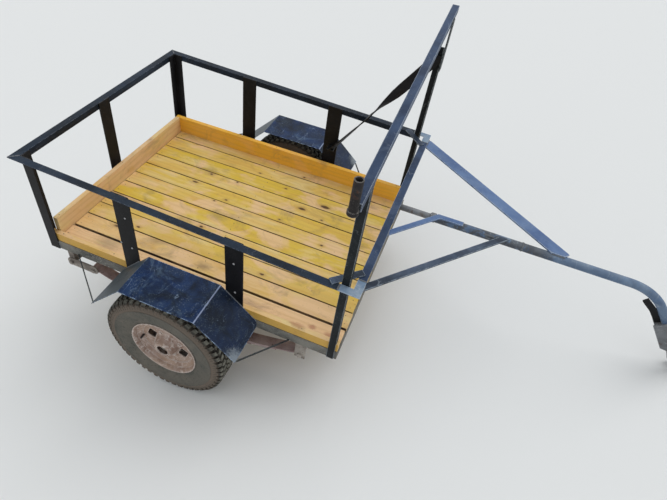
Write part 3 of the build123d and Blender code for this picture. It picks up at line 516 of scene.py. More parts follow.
def makeWood():
    # Each board carries boardGrain (x along it, y across, z through), boardSide (-1 to 1 across)
    # and boardTone: 0 is yellow, 1 is pinkish and -1 is orange.
    material, tree, shader = startMaterial("deckWood")
    grain = addNode(tree, "ShaderNodeAttribute", attribute_name="boardGrain").outputs["Vector"]
    tone = addNode(tree, "ShaderNodeAttribute", attribute_name="boardTone").outputs["Fac"]
    side = addNode(tree, "ShaderNodeAttribute", attribute_name="boardSide").outputs["Fac"]

    def stretched(scale):
        node = addNode(tree, "ShaderNodeMapping", in_Scale=scale)
        tree.links.new(grain, node.inputs["Vector"])
        return node.outputs["Vector"]

    def grainNoise(scale, detail, roughness, distortion):
        return noiseNode(tree, stretched(scale), 1.0, detail, roughness, distortion)

    # Knots: a few cells keep one, and the rings bend round it.
    knotCells = addNode(tree, "ShaderNodeTexVoronoi", in_Scale=1.0, in_Randomness=1.0)
    tree.links.new(stretched((6.5, 15.0, 1.0)), knotCells.inputs["Vector"])
    keep = addNode(tree, "ShaderNodeSeparateColor")
    tree.links.new(knotCells.outputs["Color"], keep.inputs[0])
    rare = remap(tree, keep.outputs[0], 0.24, 0.26, 1.0, 0.0)
    size = remap(tree, keep.outputs[1], 0.0, 1.0, 0.30, 0.62)
    reach = mathNode(tree, "DIVIDE", knotCells.outputs["Distance"], size)
    nearKnot = times(tree, remap(tree, reach, 0.0, 1.0, 1.0, 0.0), rare)
    warp = times(tree, mathNode(tree, "POWER", nearKnot, 2.0), 1.1)
    push = addNode(tree, "ShaderNodeCombineXYZ")
    tree.links.new(warp, push.inputs["Y"])
    bent = addNode(tree, "ShaderNodeVectorMath", operation="ADD")
    tree.links.new(stretched((0.8, 9.0, 9.0)), bent.inputs[0])
    tree.links.new(push.outputs["Vector"], bent.inputs[1])
    rings = addNode(
        tree, "ShaderNodeTexWave", wave_type="RINGS", rings_direction="X", in_Scale=1.9, in_Distortion=7.0,
        in_Detail=3.0, in_Detail_Scale=0.8, in_Detail_Roughness=0.6,
    )
    tree.links.new(bent.outputs["Vector"], rings.inputs["Vector"])
    late = remap(tree, rings.outputs["Fac"], 0.45, 1.0, 0.0, 0.17)
    fibre = grainNoise((7.0, 300.0, 300.0), 4.0, 0.65, 0.0)

    # Body colour drifts in long patches between yellow, amber, pale and pinkish.
    drift = grainNoise((3.2, 13.0, 13.0), 5.0, 0.62, 0.6)
    body = mixColour(tree, tone, woods["yellow"], woods["pinkish"])
    body = mixColour(tree, remap(tree, drift, 0.50, 0.64, 0.0, 0.75), body, woods["pale"])
    body = mixColour(tree, remap(tree, drift, 0.46, 0.34, 0.0, 0.60), body, woods["amber"])
    blush = grainNoise((6.0, 9.0, 9.0), 4.0, 0.55, 0.4)
    body = mixColour(tree, remap(tree, blush, 0.50, 0.60, 0.0, 0.85), body, woods["pinkish"])
    sunny = grainNoise((8.0, 14.0, 14.0), 3.0, 0.5, 0.3)
    yellowShare = minus(tree, 1.0, times(tree, tone, 0.9))
    sunMask = times(tree, remap(tree, sunny, 0.54, 0.62, 0.0, 0.75), yellowShare)
    body = mixColour(tree, sunMask, body, woods["yellow"])
    body = mixColour(tree, remap(tree, tone, -0.05, -1.0, 0.0, 0.80), body, woods["orange"])
    colour = mixColour(tree, late, body, woods["latewood"])
    colour = mixColour(tree, remap(tree, fibre, 0.5, 0.78, 0.0, 0.35), colour, woods["amber"])
    ragged = plus(tree, nearKnot, times(tree, noiseNode(tree, grain, 70.0, 4.0, 0.6, 0.0), 0.16))
    knotMask = remap(tree, ragged, 0.80, 0.90, 0.0, 0.92)
    halo = remap(tree, ragged, 0.50, 0.90, 0.0, 0.55)
    colour = mixColour(tree, halo, colour, woods["latewood"])
    colour = mixColour(tree, knotMask, colour, woods["knot"])

    # Knots and marks that have a place of their own on the deck, drawn out along the boards.
    lengthwise = 0.62
    level = levelVector(tree)
    flat = addNode(tree, "ShaderNodeVectorMath", operation="MULTIPLY")
    flat.inputs[1].default_value = (lengthwise, 1.0, 0.0)
    tree.links.new(level, flat.inputs[0])
    rough = times(tree, noiseNode(tree, level, 95.0, 4.0, 0.6, 0.0), 1.1)

    def nearest(spots):
        near = None
        for x, y, radius in spots:
            gap = addNode(tree, "ShaderNodeVectorMath", operation="DISTANCE")
            gap.inputs[1].default_value = (x * lengthwise, y, 0.0)
            tree.links.new(flat.outputs["Vector"], gap.inputs[0])
            share = mathNode(tree, "DIVIDE", gap.outputs["Value"], radius)
            near = share if near is None else mathNode(tree, "MINIMUM", near, share)
        return plus(tree, near, rough)

    spots = nearest(knots)
    colour = mixColour(tree, remap(tree, spots, 3.4, 1.3, 0.0, 0.5), colour, woods["latewood"])
    colour = mixColour(tree, remap(tree, spots, 1.6, 1.15, 0.0, 0.92), colour, woods["knot"])
    # The outer face of the right board is coloured a darker orange than the rest of it.
    outerFace = remap(tree, splitNode(tree, level)["Y"], -0.4488, -0.4496, 0.0, 0.85)
    colour = mixColour(tree, outerFace, colour, woods["face"])
    colour = mixColour(tree, remap(tree, nearest(redMarks), 1.7, 1.0, 0.0, 0.6), colour, woods["red"])
    colour = mixColour(tree, remap(tree, nearest(greyMarks), 1.8, 0.8, 0.0, 0.45), colour, woods["stain"])

    # Hand dirt, boot scuffs and dark edges along the gaps.
    smudge = grainNoise((5.5, 8.0, 8.0), 9.0, 0.70, 0.9)
    dirty = remap(tree, smudge, 0.53, 0.70, 0.0, 0.50)
    colour = mixColour(tree, dirty, colour, woods["stain"])
    specks = noiseNode(tree, grain, 150.0, 5.0, 0.6, 0.0)
    colour = mixColour(tree, remap(tree, specks, 0.66, 0.72, 0.0, 0.55), colour, woods["knot"])
    sideAbs = mathNode(tree, "ABSOLUTE", side)
    edgeDirt = times(tree, remap(tree, sideAbs, 0.955, 0.995), remap(tree, smudge, 0.35, 0.6, 0.55, 1.0))
    colour = mixColour(tree, edgeDirt, colour, woods["gap"])
    tree.links.new(colour, shader.inputs["Base Color"])
    shader.inputs["Roughness"].default_value = 0.62
    shader.inputs["Specular IOR Level"].default_value = 0.25
    relief = plus(tree, times(tree, fibre, 0.6), times(tree, late, -1.2))
    relief = minus(tree, relief, times(tree, knotMask, 0.5))
    bumpInto(tree, shader, relief, 0.5, 0.0007)
    return material


def makePlain(name, colour, roughness, metallic=0.0):
    material, tree, shader = startMaterial(name)
    level = levelVector(tree)
    grit = noiseNode(tree, level, 240.0, 4.0, 0.6, 0.0)
    shade = tuple(c * 0.6 for c in colour)
    mixed = mixColour(tree, remap(tree, grit, 0.45, 0.62, 0.0, 0.7), colour, shade)
    tree.links.new(mixed, shader.inputs["Base Color"])
    shader.inputs["Roughness"].default_value = roughness
    shader.inputs["Metallic"].default_value = metallic
    bumpInto(tree, shader, grit, 0.3, 0.0003)
    return material


materials = {name: makePaint(name) for name in paints}
materials.update({name: makeMuddySteel(name) for name in muds})
materials["tyre"] = makeTyreRubber()
materials["rim"] = makeDustyRimWithPaintedShade()
materials["wood"] = makeWood()
materials["nail"] = makePlain("nailHead", (0.10, 0.075, 0.060), 0.6, 0.2)
materials["weld"] = makePlain("weldMetal", (0.13, 0.14, 0.155), 0.6)
materials["brightScrew"] = makePlain("brightScrew", (0.42, 0.42, 0.43), 0.4, 0.3)
materials["valve"] = makePlain("valveRubber", (0.030, 0.024, 0.021), 0.7)
print("materials made:", len(materials))

# Which finish each solid has: the first start of the name that fits counts.
finishes = (
    ("fender_rods", "teal"), ("fender", "fender"), ("brace_left", "blue"), ("brace_right", "slate"),
    ("strut", "blue"), ("corner_plate", "paleBlue"), ("corner_flats", "slate"), ("drawbar_pipe", "pipe"),
    ("drawbar", "bareSteel"), ("hitch_gusset", "black"), ("hitch", "bareSteel"), ("pole_socket", "rusty"),
    ("rail_front", "deepBlue"), ("top_bar", "deepBlue"), ("rail", "navy"), ("stay", "black"),
    ("mid_post", "black"), ("post_front", "teal"), ("post_extension", "teal"), ("post", "black"),
    ("base", "frame"), ("cross", "frame"), ("spring_clamp", "greyMud"), ("spring_hangers", "greyMud"),
    ("spring", "pinkMud"), ("shackle", "greyMud"), ("axle", "greyMud"), ("hub", "greyMud"), ("tyre", "tyre"),
    ("rim", "rim"), ("board", "wood"), ("deck", "wood"),
)
softening = {"weldWithin": 0.00002, "width": 0.0007, "segments": 2, "overDegrees": 40}
for name, node in nodes.items():
    finish = next(choice for start, choice in finishes if name.startswith(start))
    node.data.materials.clear()
    node.data.materials.append(materials[finish])
    weld = node.modifiers.new("joinCorners", "WELD")
    weld.merge_threshold = softening["weldWithin"]
    soft = node.modifiers.new("softEdges", "BEVEL")
    soft.width = softening["width"]
    soft.segments = softening["segments"]
    soft.limit_method = "ANGLE"
    soft.angle_limit = math.radians(softening["overDegrees"])
print("solids dressed")


# Braces: flats whose front ends are cut off along the pipe they are welded to.
braces = {
    "base": 0.37403, "thickness": 0.006, "edgeRadius": 0.0008,
    # "from" and "to" are the ends of the middle line in plan. The tip is cut off along the y in "cut",
    # and "keep" is the side of it that stays.
    "left": {
        "width": 0.050, "from": (1.211, 0.427), "to": (1.780, -0.006), "cut": -0.004, "keep": 1,
        "slot": "bright_blue_paint", "finish": "blue",
    },
    "right": {
        "width": 0.023, "from": (1.207, -0.444), "to": (1.594, 0.004), "cut": -0.007, "keep": -1,
        "slot": "navy_paint", "finish": "slate",
    },
}


def makeBrace(name, look):
    # A flat bar from its foot to its tip, less what lies past the cut.
    start, tip = Vector(look["from"]), Vector(look["to"])
    along = (tip - start).normalized()
    across = Vector((-along.y, along.x)) * look["width"] / 2
    corners = [start - across, tip - across, tip + across, start + across]
    kept = []
    for index, here in enumerate(corners):
        after = corners[(index + 1) % 4]
        inside = (here.y - look["cut"]) * look["keep"] > 0
        if inside:
            kept.append(here)
        if inside != ((after.y - look["cut"]) * look["keep"] > 0):
            kept.append(here.lerp(after, (look["cut"] - here.y) / (after.y - here.y)))
    build = bmesh.new()
    rings = [
        [build.verts.new(world(spot.x, spot.y, level)) for spot in kept]
        for level in (braces["base"], braces["base"] + braces["thickness"])
    ]
    build.faces.new(rings[0][::-1])
    build.faces.new(rings[1])
    for index in range(len(kept)):
        after = (index + 1) % len(kept)
        build.faces.new((rings[0][index], rings[0][after], rings[1][after], rings[1][index]))
    bmesh.ops.bevel(build, geom=build.edges[:], offset=braces["edgeRadius"], segments=2, affect="EDGES")
    bmesh.ops.recalc_face_normals(build, faces=build.faces)
    mesh = bpy.data.meshes.new(name)
    build.to_mesh(mesh)
    build.free()
    return mesh


for side in ("left", "right"):
    look = braces[side]
    newPiece(
        "braceFlat_" + side, makeBrace("braceFlat_" + side, look), materials[look["finish"]],
        standsFor=("brace_" + side,),
    )
print("braces made")


# Boards: a rounded box for each one.
deck = {
    "rear": 0.042, "right": 0.027, "left": 0.035, "edgeRadius": 0.0016, "seed": 7,
    # width share, gap after it in mm, cut back at the rear in quarter mm, cut back at the front in mm, tone
    "planks": (
        (70, 9.0, 7, 8, 1.00), (76, 4.0, 9, 6, 0.75), (76, 2.5, 7, 9, 0.30), (80, 3.0, 10, 7, 0.45),
        (83, 3.5, 7, 6, 0.05), (73, 2.5, 8, 9, 0.45), (79, 4.0, 7, 7, 0.15), (79, 3.0, 9, 8, 0.30),
        (80, 2.5, 7, 6, 0.00), (81, 3.0, 8, 9, 0.30), (77, 3.0, 7, 7, 0.50),
    ),
}


def addBoard(parts, low, high, longAxis, tone, shift, radius):
    # A rounded box between two level corners, cut along its length, with its grain coordinates.
    size = [high[i] - low[i] for i in range(3)]
    centre = Vector([(high[i] + low[i]) / 2 for i in range(3)])
    across = 1 - longAxis if size[1 - longAxis] > size[2] else 2
    through = 3 - longAxis - across
    one = bmesh.new()
    bmesh.ops.create_cube(one, size=1.0)
    for vert in one.verts:
        vert.co = Vector([vert.co[i] * size[i] for i in range(3)])
    reach = size[longAxis] * 0.9
    longEdges = [edge for edge in one.edges if abs((edge.verts[0].co - edge.verts[1].co)[longAxis]) > reach]
    bmesh.ops.subdivide_edges(one, edges=longEdges, cuts=11, use_grid_fill=True)
    borders = [edge for edge in one.edges if edge.calc_face_angle(0.0) > 0.5]
    bmesh.ops.bevel(one, geom=borders, offset=radius, segments=2, profile=0.6, affect="EDGES", clamp_overlap=True)
    bmesh.ops.recalc_face_normals(one, faces=one.faces)
    one.verts.ensure_lookup_table()
    first = len(parts["verts"])
    for vert in one.verts:
        parts["verts"].append(levelToWorld @ (centre + vert.co))
        parts["grain"].append(Vector((vert.co[longAxis], vert.co[across], vert.co[through])) + Vector(shift))
        parts["tone"].append(tone)
        parts["side"].append(vert.co[across] / (size[across] / 2) * (1.0 if across < 2 else 0.6))
    for face in one.faces:
        parts["faces"].append([first + vert.index for vert in face.verts])
    one.free()


def startBoards():
    return {"verts": [], "faces": [], "grain": [], "tone": [], "side": []}


def endBoards(parts, name):
    mesh = bpy.data.meshes.new(name)
    mesh.from_pydata(parts["verts"], [], parts["faces"])
    grain = mesh.attributes.new("boardGrain", "FLOAT_VECTOR", "POINT")
    grain.data.foreach_set("vector", [number for vector in parts["grain"] for number in vector])
    tone = mesh.attributes.new("boardTone", "FLOAT", "POINT")
    tone.data.foreach_set("value", parts["tone"])
    side = mesh.attributes.new("boardSide", "FLOAT", "POINT")
    side.data.foreach_set("value", parts["side"])
    mesh.polygons.foreach_set("use_smooth", [False] * len(mesh.polygons))
    return mesh


def makePlanks():
    randomSource = random.Random(deck["seed"])
    parts = startBoards()
    half = bedSizes["halfWidth"]
    shares = sum(plank[0] for plank in deck["planks"])
    scale = (2 * half - deck["right"] - deck["left"]) / shares
    right = deck["right"] - half
    spans = []
    for share, gap, rearCut, frontCut, tone in deck["planks"]:
        left = right + share * scale
        low = (deck["rear"] + rearCut / 4000, right, bedSizes["deckBase"])
        high = (bedSizes["length"] - frontCut / 1000, left - gap / 1000, bedSizes["deckTop"])
        shift = (randomSource.uniform(-9, 9), randomSource.uniform(-0.25, 0.25), randomSource.uniform(-0.25, 0.05))
        addBoard(parts, low, high, 0, tone, shift, deck["edgeRadius"])
        spans.append((right, left - gap / 1000))
        right = left
    newPiece(
        "deckPlanks", endBoards(parts, "deckPlanks"), materials["wood"], standsFor=("deck_planks",)
    )
    return spans


plankSpans = makePlanks()

sideBoards = {   # two level corners in metres, long axis, tone, the node it stands for
    "boardRight": ((0.006, -0.450, 0.040), (1.186, -0.430, 0.077), 0, 0.80, "board_right"),
    "boardLeft": ((0.022, 0.396, 0.058), (1.182, 0.416, 0.137), 0, -1.0, "board_left"),
    "boardRear": ((0.022, -0.430, 0.040), (0.042, 0.396, 0.137), 1, 0.9, "board_rear"),
}
for name, (low, high, longAxis, tone, standsFor) in sideBoards.items():
    boardParts = startBoards()
    addBoard(boardParts, low, high, longAxis, tone, (len(name) * 1.7, 0.03, 0.02), 0.0018)
    newPiece(name, endBoards(boardParts, name), materials["wood"], standsFor=(standsFor,))
print("boards made")


# Tyres: a turned carcass with rows of knobs, in place of the plain lugs.
tyre = {
    "carcass": (   # radius, distance out from the wheel's middle, tread shade
        (0.1270, 0.0460, 0.0), (0.1310, 0.0488, 0.0), (0.1340, 0.0482, 0.0), (0.1460, 0.0530, 0.0),
        (0.1640, 0.0570, 0.0), (0.1850, 0.0582, 0.0), (0.1950, 0.0582, 0.0), (0.1968, 0.0596, 0.0),
        (0.1992, 0.0596, 0.1), (0.2006, 0.0568, 0.42), (0.2060, 0.0578, 0.46), (0.2180, 0.0545, 0.5),
        (0.2270, 0.0462, 0.75), (0.2325, 0.0330, 0.8), (0.2335, 0.0150, 0.8), (0.2335, 0.0, 0.8),
    ),
    "inner": ((0.1270, 0.0360), (0.1600, 0.0460), (0.1950, 0.0480), (0.2250, 0.0320), (0.2275, 0.0)),
    "steps": 144,
    "knobs": (   # outline as radius and distance out, count, arc in degrees, skew, shift in pitches
        (
            (
                (0.2190, 0.0510), (0.2225, 0.0560), (0.2310, 0.0540), (0.2382, 0.0478), (0.2408, 0.0400),
                (0.2320, 0.0380), (0.2260, 0.0440),
            ),
            52, 3.9, 1.5, 0.0,
        ),
        (((0.2310, 0.0345), (0.2408, 0.0340), (0.2416, 0.0190), (0.2325, 0.0180)), 52, 3.7, -2.5, 0.5),
        (((0.2325, 0.0135), (0.2416, 0.0130), (0.2418, 0.0015), (0.2325, 0.0005)), 52, 4.0, 2.0, 0.1),
    ),
    "ribs": (((0.2070, 0.0560), (0.2085, 0.0582), (0.2210, 0.0545), (0.2200, 0.0515)), 104, 1.3, 0.0, 0.25),
    # Knob points beyond topRadius are lifted at random, up to the limit. Shades go by radius.
    "topRadius": 0.2395, "limit": 0.2419, "paleRadius": 0.2370, "wallRadius": 0.2285, "skewWidth": 0.02,
    "seed": 11,
}


def makeTyre(handName, hand):
    randomSource = random.Random(tyre["seed"] + hand)
    verts, faces, shades = [], [], []

    def spot(radius, out, angle):
        x, z = radius * math.cos(angle), radius * math.sin(angle)
        return world(bedSizes["axleX"] + x, hand * bedSizes["wheelCentreY"] + out, bedSizes["axleZ"] + z)

    outer = list(tyre["carcass"])
    ring = outer + [(r, -a, shade) for r, a, shade in outer[-2::-1]]
    inner = list(tyre["inner"])
    ring += [(r, -a, 0.0) for r, a in inner] + [(r, a, 0.0) for r, a in inner[-2::-1]]
    count = len(ring)
    for step in range(tyre["steps"]):
        angle = step * 2 * math.pi / tyre["steps"]
        for radius, out, shade in ring:
            verts.append(spot(radius, out, angle))
            shades.append(shade)
    for step in range(tyre["steps"]):
        following = (step + 1) % tyre["steps"]
        for i in range(count):
            j = (i + 1) % count
            faces.append((step * count + i, step * count + j, following * count + j, following * count + i))

    def addKnob(shape, start, arc, skew, side, lift):
        first = len(verts)
        size = len(shape)
        for part in (0, 1):
            for radius, out in shape:
                angle = math.radians(start + part * arc + skew * (out - shape[0][1]) / tyre["skewWidth"])
                lifted = radius + lift if radius > tyre["topRadius"] else radius
                verts.append(spot(min(lifted, tyre["limit"]), side * out, angle))
                shades.append(1.0 if radius > tyre["paleRadius"] else 0.85 if radius > tyre["wallRadius"] else 0.5)
        faces.append(tuple(range(first, first + size)))
        faces.append(tuple(range(first + 2 * size - 1, first + size - 1, -1)))
        for i in range(size):
            j = (i + 1) % size
            faces.append((first + j, first + i, first + size + i, first + size + j))

    for side in (1, -1):
        halfPitch = 0.5 if side < 0 else 0.0
        for shape, knobCount, arc, skew, shift in tyre["knobs"] + (tyre["ribs"],):
            for k in range(knobCount):
                start = (k + shift + halfPitch) * 360 / knobCount + randomSource.uniform(-0.25, 0.25)
                addKnob(
                    shape, start, arc + randomSource.uniform(-0.5, 0.4), skew, side,
                    randomSource.uniform(-0.0010, 0.0002),
                )
    mesh = bpy.data.meshes.new("tyreKnobbed_" + handName)
    mesh.from_pydata(verts, [], faces)
    shade = mesh.attributes.new("treadShade", "FLOAT", "POINT")
    shade.data.foreach_set("value", shades)
    shaped = bmesh.new()
    shaped.from_mesh(mesh)
    bmesh.ops.recalc_face_normals(shaped, faces=shaped.faces)
    shaped.to_mesh(mesh)
    shaped.free()
    smooth = [len(polygon.vertices) == 4 and polygon.index < tyre["steps"] * count for polygon in mesh.polygons]
    mesh.polygons.foreach_set("use_smooth", smooth)
    newPiece(
        "tyreKnobbed_" + handName, mesh, materials["tyre"], body="wheel_" + handName,
        standsFor=("tyre_" + handName,),
    )


for handName, hand in (("right", -1), ("left", 1)):
    makeTyre(handName, hand)
print("tyres made")


# Small repeated things are placed on points by Geometry Nodes.
def buildScatter(name, shape):
    group = bpy.data.node_groups.new(name, "GeometryNodeTree")
    group.interface.new_socket(name="Geometry", in_out="INPUT", socket_type="NodeSocketGeometry")
    for label, kind, value in (
        ("Radius", "NodeSocketFloat", 0.003), ("Height", "NodeSocketFloat", 0.002),
        ("Stretch", "NodeSocketFloat", 1.0), ("Vary", "NodeSocketFloat", 0.1), ("Seed", "NodeSocketInt", 5),
    ):
        group.interface.new_socket(name=label, in_out="INPUT", socket_type=kind).default_value = value
    group.interface.new_socket(name="Material", in_out="INPUT", socket_type="NodeSocketMaterial")
    group.interface.new_socket(name="Geometry", in_out="OUTPUT", socket_type="NodeSocketGeometry")
    entry = addNode(group, "NodeGroupInput")
    leave = addNode(group, "NodeGroupOutput")
    link = group.links.new

    def sized(geometry, flat, height, lift):
        # Scales one unit shape to the radius and height asked for, and lifts it.
        scale = addNode(group, "ShaderNodeCombineXYZ")
        link(times(group, times(group, entry.outputs["Radius"], flat), entry.outputs["Stretch"]), scale.inputs["X"])
        link(times(group, entry.outputs["Radius"], flat), scale.inputs["Y"])
        link(times(group, entry.outputs["Height"], height), scale.inputs["Z"])
        move = addNode(group, "ShaderNodeCombineXYZ")
        link(times(group, entry.outputs["Height"], lift), move.inputs["Z"])
        transform = addNode(group, "GeometryNodeTransform")
        link(geometry, transform.inputs["Geometry"])
        link(scale.outputs[0], transform.inputs["Scale"])
        link(move.outputs[0], transform.inputs["Translation"])
        return transform.outputs["Geometry"]

    def cylinder(sides):
        node = addNode(group, "GeometryNodeMeshCylinder", in_Vertices=sides, in_Radius=1.0, in_Depth=1.0)
        return node.outputs["Mesh"]

    if shape == "bolt":
        join = addNode(group, "GeometryNodeJoinGeometry")
        for sides, flat, height, lift in (
            (24, 1.40, 0.22, 0.05), (6, 1.0, 0.85, 0.50), (24, 0.82, 0.16, 0.96), (16, 0.48, 0.55, 1.10)
        ):
            link(sized(cylinder(sides), flat, height, lift), join.inputs["Geometry"])
        unit = join.outputs["Geometry"]
        smooth = False
    else:
        if shape == "head":
            ball = addNode(group, "GeometryNodeMeshUVSphere", in_Radius=1.0, in_Segments=14, in_Rings=8)
        else:
            ball = addNode(group, "GeometryNodeMeshIcoSphere", in_Radius=1.0, in_Subdivisions=2)
        unit = sized(ball.outputs["Mesh"], 1.0, 1.0, 0.0)
        smooth = True
    turn = addNode(group, "GeometryNodeInputNamedAttribute", data_type="FLOAT_VECTOR")
    turn.inputs["Name"].default_value = "turn"
    rotation = addNode(group, "FunctionNodeEulerToRotation")
    link(turn.outputs["Attribute"], rotation.inputs["Euler"])
    vary = addNode(group, "FunctionNodeRandomValue", data_type="FLOAT")
    link(minus(group, 1.0, entry.outputs["Vary"]), vary.inputs[2])
    link(plus(group, 1.0, entry.outputs["Vary"]), vary.inputs[3])
    link(entry.outputs["Seed"], vary.inputs["Seed"])
    copies = addNode(group, "GeometryNodeInstanceOnPoints")
    link(entry.outputs["Geometry"], copies.inputs["Points"])
    link(unit, copies.inputs["Instance"])
    link(rotation.outputs["Rotation"], copies.inputs["Rotation"])
    link(vary.outputs[1], copies.inputs["Scale"])
    shaded = addNode(group, "GeometryNodeSetShadeSmooth")
    shaded.inputs["Shade Smooth"].default_value = smooth
    realize = addNode(group, "GeometryNodeRealizeInstances")
    paint = addNode(group, "GeometryNodeSetMaterial")
    link(copies.outputs["Instances"], realize.inputs["Geometry"])
    link(realize.outputs["Geometry"], shaded.inputs["Geometry"])
    link(shaded.outputs["Geometry"], paint.inputs["Geometry"])
    link(entry.outputs["Material"], paint.inputs["Material"])
    link(paint.outputs["Geometry"], leave.inputs["Geometry"])
    return group


scatters = {shape: buildScatter(shape + "Scatter", shape) for shape in ("head", "bead", "bolt")}


def scatter(name, shape, spots, slotName, material, body="chassis", **values):
    # spots: level place, outward direction, direction along.
    mesh = bpy.data.meshes.new(name + "Points")
    mesh.from_pydata([levelToWorld @ Vector(spot[0]) for spot in spots], [], [])
    turns = mesh.attributes.new("turn", "FLOAT_VECTOR", "POINT")
    numbers = []
    for place, outward, along in spots:
        z = Vector(outward).normalized()
        x = Vector(along)
        x = (x - z * x.dot(z)).normalized()
        frameTurn = Matrix((x, z.cross(x), z)).transposed()
        numbers += list((levelToWorld.to_3x3() @ frameTurn).to_euler())
    turns.data.foreach_set("vector", numbers)
    holder = bpy.data.objects.new(name, mesh)
    bpy.context.scene.collection.objects.link(holder)
    modifier = holder.modifiers.new("scatter", "NODES")
    modifier.node_group = scatters[shape]
    values = {"Material": material, **values}
    for item in scatters[shape].interface.items_tree:
        if item.in_out == "INPUT" and item.name in values:
            modifier[item.identifier] = values[item.name]
    bpy.context.view_layer.update()
    made = bpy.data.meshes.new_from_object(holder.evaluated_get(bpy.context.evaluated_depsgraph_get()))
    made.name = name
    holder.modifiers.remove(modifier)
    bpy.data.objects.remove(holder)
    newPiece(name, made, material, body=body)


def ringTop(x):
    return bedSizes["railTop"] + bedSizes["rearRise"] * (1 - x / bedSizes["length"])


# Nail heads: two for each plank over the rear, middle and front members, and one row on each board.
nails = {
    "members": (0.060, 0.590, 1.168), "inset": 0.24, "radius": 0.0017, "height": 0.0007, "seed": 21,
    "sideBoards": (0.06, 0.30, 0.55, 0.80, 1.05, 1.15), "rearBoard": (-0.40, -0.22, -0.02, 0.17, 0.36),
}
nailSource = random.Random(nails["seed"])
nailSpots = []
for right, left in plankSpans:
    for x in nails["members"]:
        for share in (nails["inset"], 1 - nails["inset"]):
            place = (
                x + nailSource.uniform(-0.005, 0.005),
                right + (left - right) * share + nailSource.uniform(-0.004, 0.004), bedSizes["deckTop"] + 0.0002,
            )
            nailSpots.append((place, (0, 0, 1), (1, 0, 0)))
for x in nails["sideBoards"]:
    nailSpots.append(((x + nailSource.uniform(-0.01, 0.01), -0.440, 0.0772), (0, 0, 1), (1, 0, 0)))
    nailSpots.append(((x + nailSource.uniform(-0.01, 0.01), 0.406, 0.1372), (0, 0, 1), (1, 0, 0)))
for y in nails["rearBoard"]:
    nailSpots.append(((0.032, y + nailSource.uniform(-0.01, 0.01), 0.1372), (0, 0, 1), (1, 0, 0)))
scatter(
    "nailHeads", "head", nailSpots, "muddy_steel", materials["nail"], Radius=nails["radius"],
    Height=nails["height"], Vary=0.2, Seed=4,
)

# Bright screws in the mid posts: x and z on both sides, y and z at the rear.
screws = {
    "sides": ((0.3939, 0.314), (0.3987, 0.1745), (0.3562, 0.185), (0.7995, 0.294), (0.8032, 0.1533)),
    "rear": ((-0.035, 0.11), (-0.030, 0.20), (-0.045, 0.31)), "radius": 0.0040, "height": 0.0018,
}
half = bedSizes["halfWidth"]
screwSpots = [
    ((x, hand * (half + 0.0003), z), (0, hand, 0), (1, 0, 0)) for x, z in screws["sides"] for hand in (-1, 1)
]
screwSpots += [((-0.0003, y, z), (-1, 0, 0), (0, 1, 0)) for y, z in screws["rear"]]
scatter(
    "postScrews", "head", screwSpots, "muddy_steel", materials["brightScrew"], Radius=screws["radius"],
    Height=screws["height"], Vary=0.12, Seed=2,
)

# Weld beads: rows along straight lines and round rings.
welds = {"radius": 0.0030, "height": 0.0017, "spacing": 0.0026, "scatter": 0.0004, "seed": 33}
weldSource = random.Random(welds["seed"])
weldSpots = []


def weldRow(start, finish, outward):
    start, finish = Vector(start), Vector(finish)
    run = finish - start
    count = max(2, round(run.length / welds["spacing"]))
    for i in range(count + 1):
        stray = Vector([weldSource.uniform(-welds["scatter"], welds["scatter"]) for axis in range(3)])
        weldSpots.append((start + run * i / count + stray, outward, run))


def weldRing(x, z, radius):
    # A ring of beads round a tube that runs forward.
    count = round(2 * math.pi * radius / welds["spacing"])
    for i in range(count):
        angle = 2 * math.pi * i / count
        outward = Vector((0, math.cos(angle), math.sin(angle)))
        weldSpots.append((Vector((x, 0, z)) + outward * radius, outward, (0, -math.sin(angle), math.cos(angle))))


# Sizes of the solids that the welds follow. The few tenths of a millimetre in the rows below
# set the beads on the metal's corners.
length = bedSizes["length"]
over = 0.027
plateReach = 0.042
midPosts = (0.388, 0.7998)
postHalf = 0.0325
braceTop = bedSizes["railTop"] - 0.003 - over * bedSizes["rearRise"] / length
pipeZ = braceTop - 0.006 - 0.0145
pipeStart = length + 0.150
barFront = length - 0.014
hitchFall = math.radians(51.0)
bendRadius = 0.170
bendEnd = (length + 0.802 + bendRadius * math.sin(hitchFall), pipeZ - bendRadius * (1 - math.cos(hitchFall)))

for hand in (-1, 1):
    weldRow(
        (-0.001, hand * (half + 0.001), ringTop(0)), (-over + 0.003, hand * (half + over - 0.003), ringTop(-over)),
        (0, 0, 1),
    )
    weldRow(
        (length - plateReach, hand * (half + 0.003), ringTop(length - plateReach)),
        (length - plateReach, hand * (half + over - 0.002), ringTop(length - plateReach)), (0, 0, 1),
    )
    weldRow(
        (length + 0.003, hand * (half - plateReach), ringTop(length)),
        (length + over - 0.002, hand * (half - plateReach), ringTop(length + over)), (0, 0, 1),
    )
    for x in midPosts:
        for edge, way in ((x - postHalf, -1), (x + postHalf, 1)):
            weldRow((edge, hand * (half - 0.004), 0.004), (edge, hand * (half - 0.004), 0.034), (way, hand, 0))
        weldRow(
            (x - 0.030, hand * (half + 0.001), ringTop(x) - 0.0255),
            (x + 0.030, hand * (half + 0.001), ringTop(x) - 0.0258), (0, hand, -1),
        )
    for low, high in (((0.3570, 0.0525), (0.4190, 0.1160)), ((0.7690, 0.1465), (0.8310, 0.0920))):
        weldRow((low[0], hand * (half + 0.0005), low[1]), (high[0], hand * (half + 0.0005), high[1]), (0, hand, 1))
    for x, way in ((0.041, 1), (length - 0.0395, -1), (length - 0.0135, 1)):
        weldRow((x, hand * (half - 0.004), 0.004), (x, hand * (half - 0.004), 0.034), (way, hand, 0))
weldRow((-0.001, -0.063, ringTop(0) - 0.0256), (-0.001, -0.007, ringTop(0) - 0.0256), (-1, 0, -1))
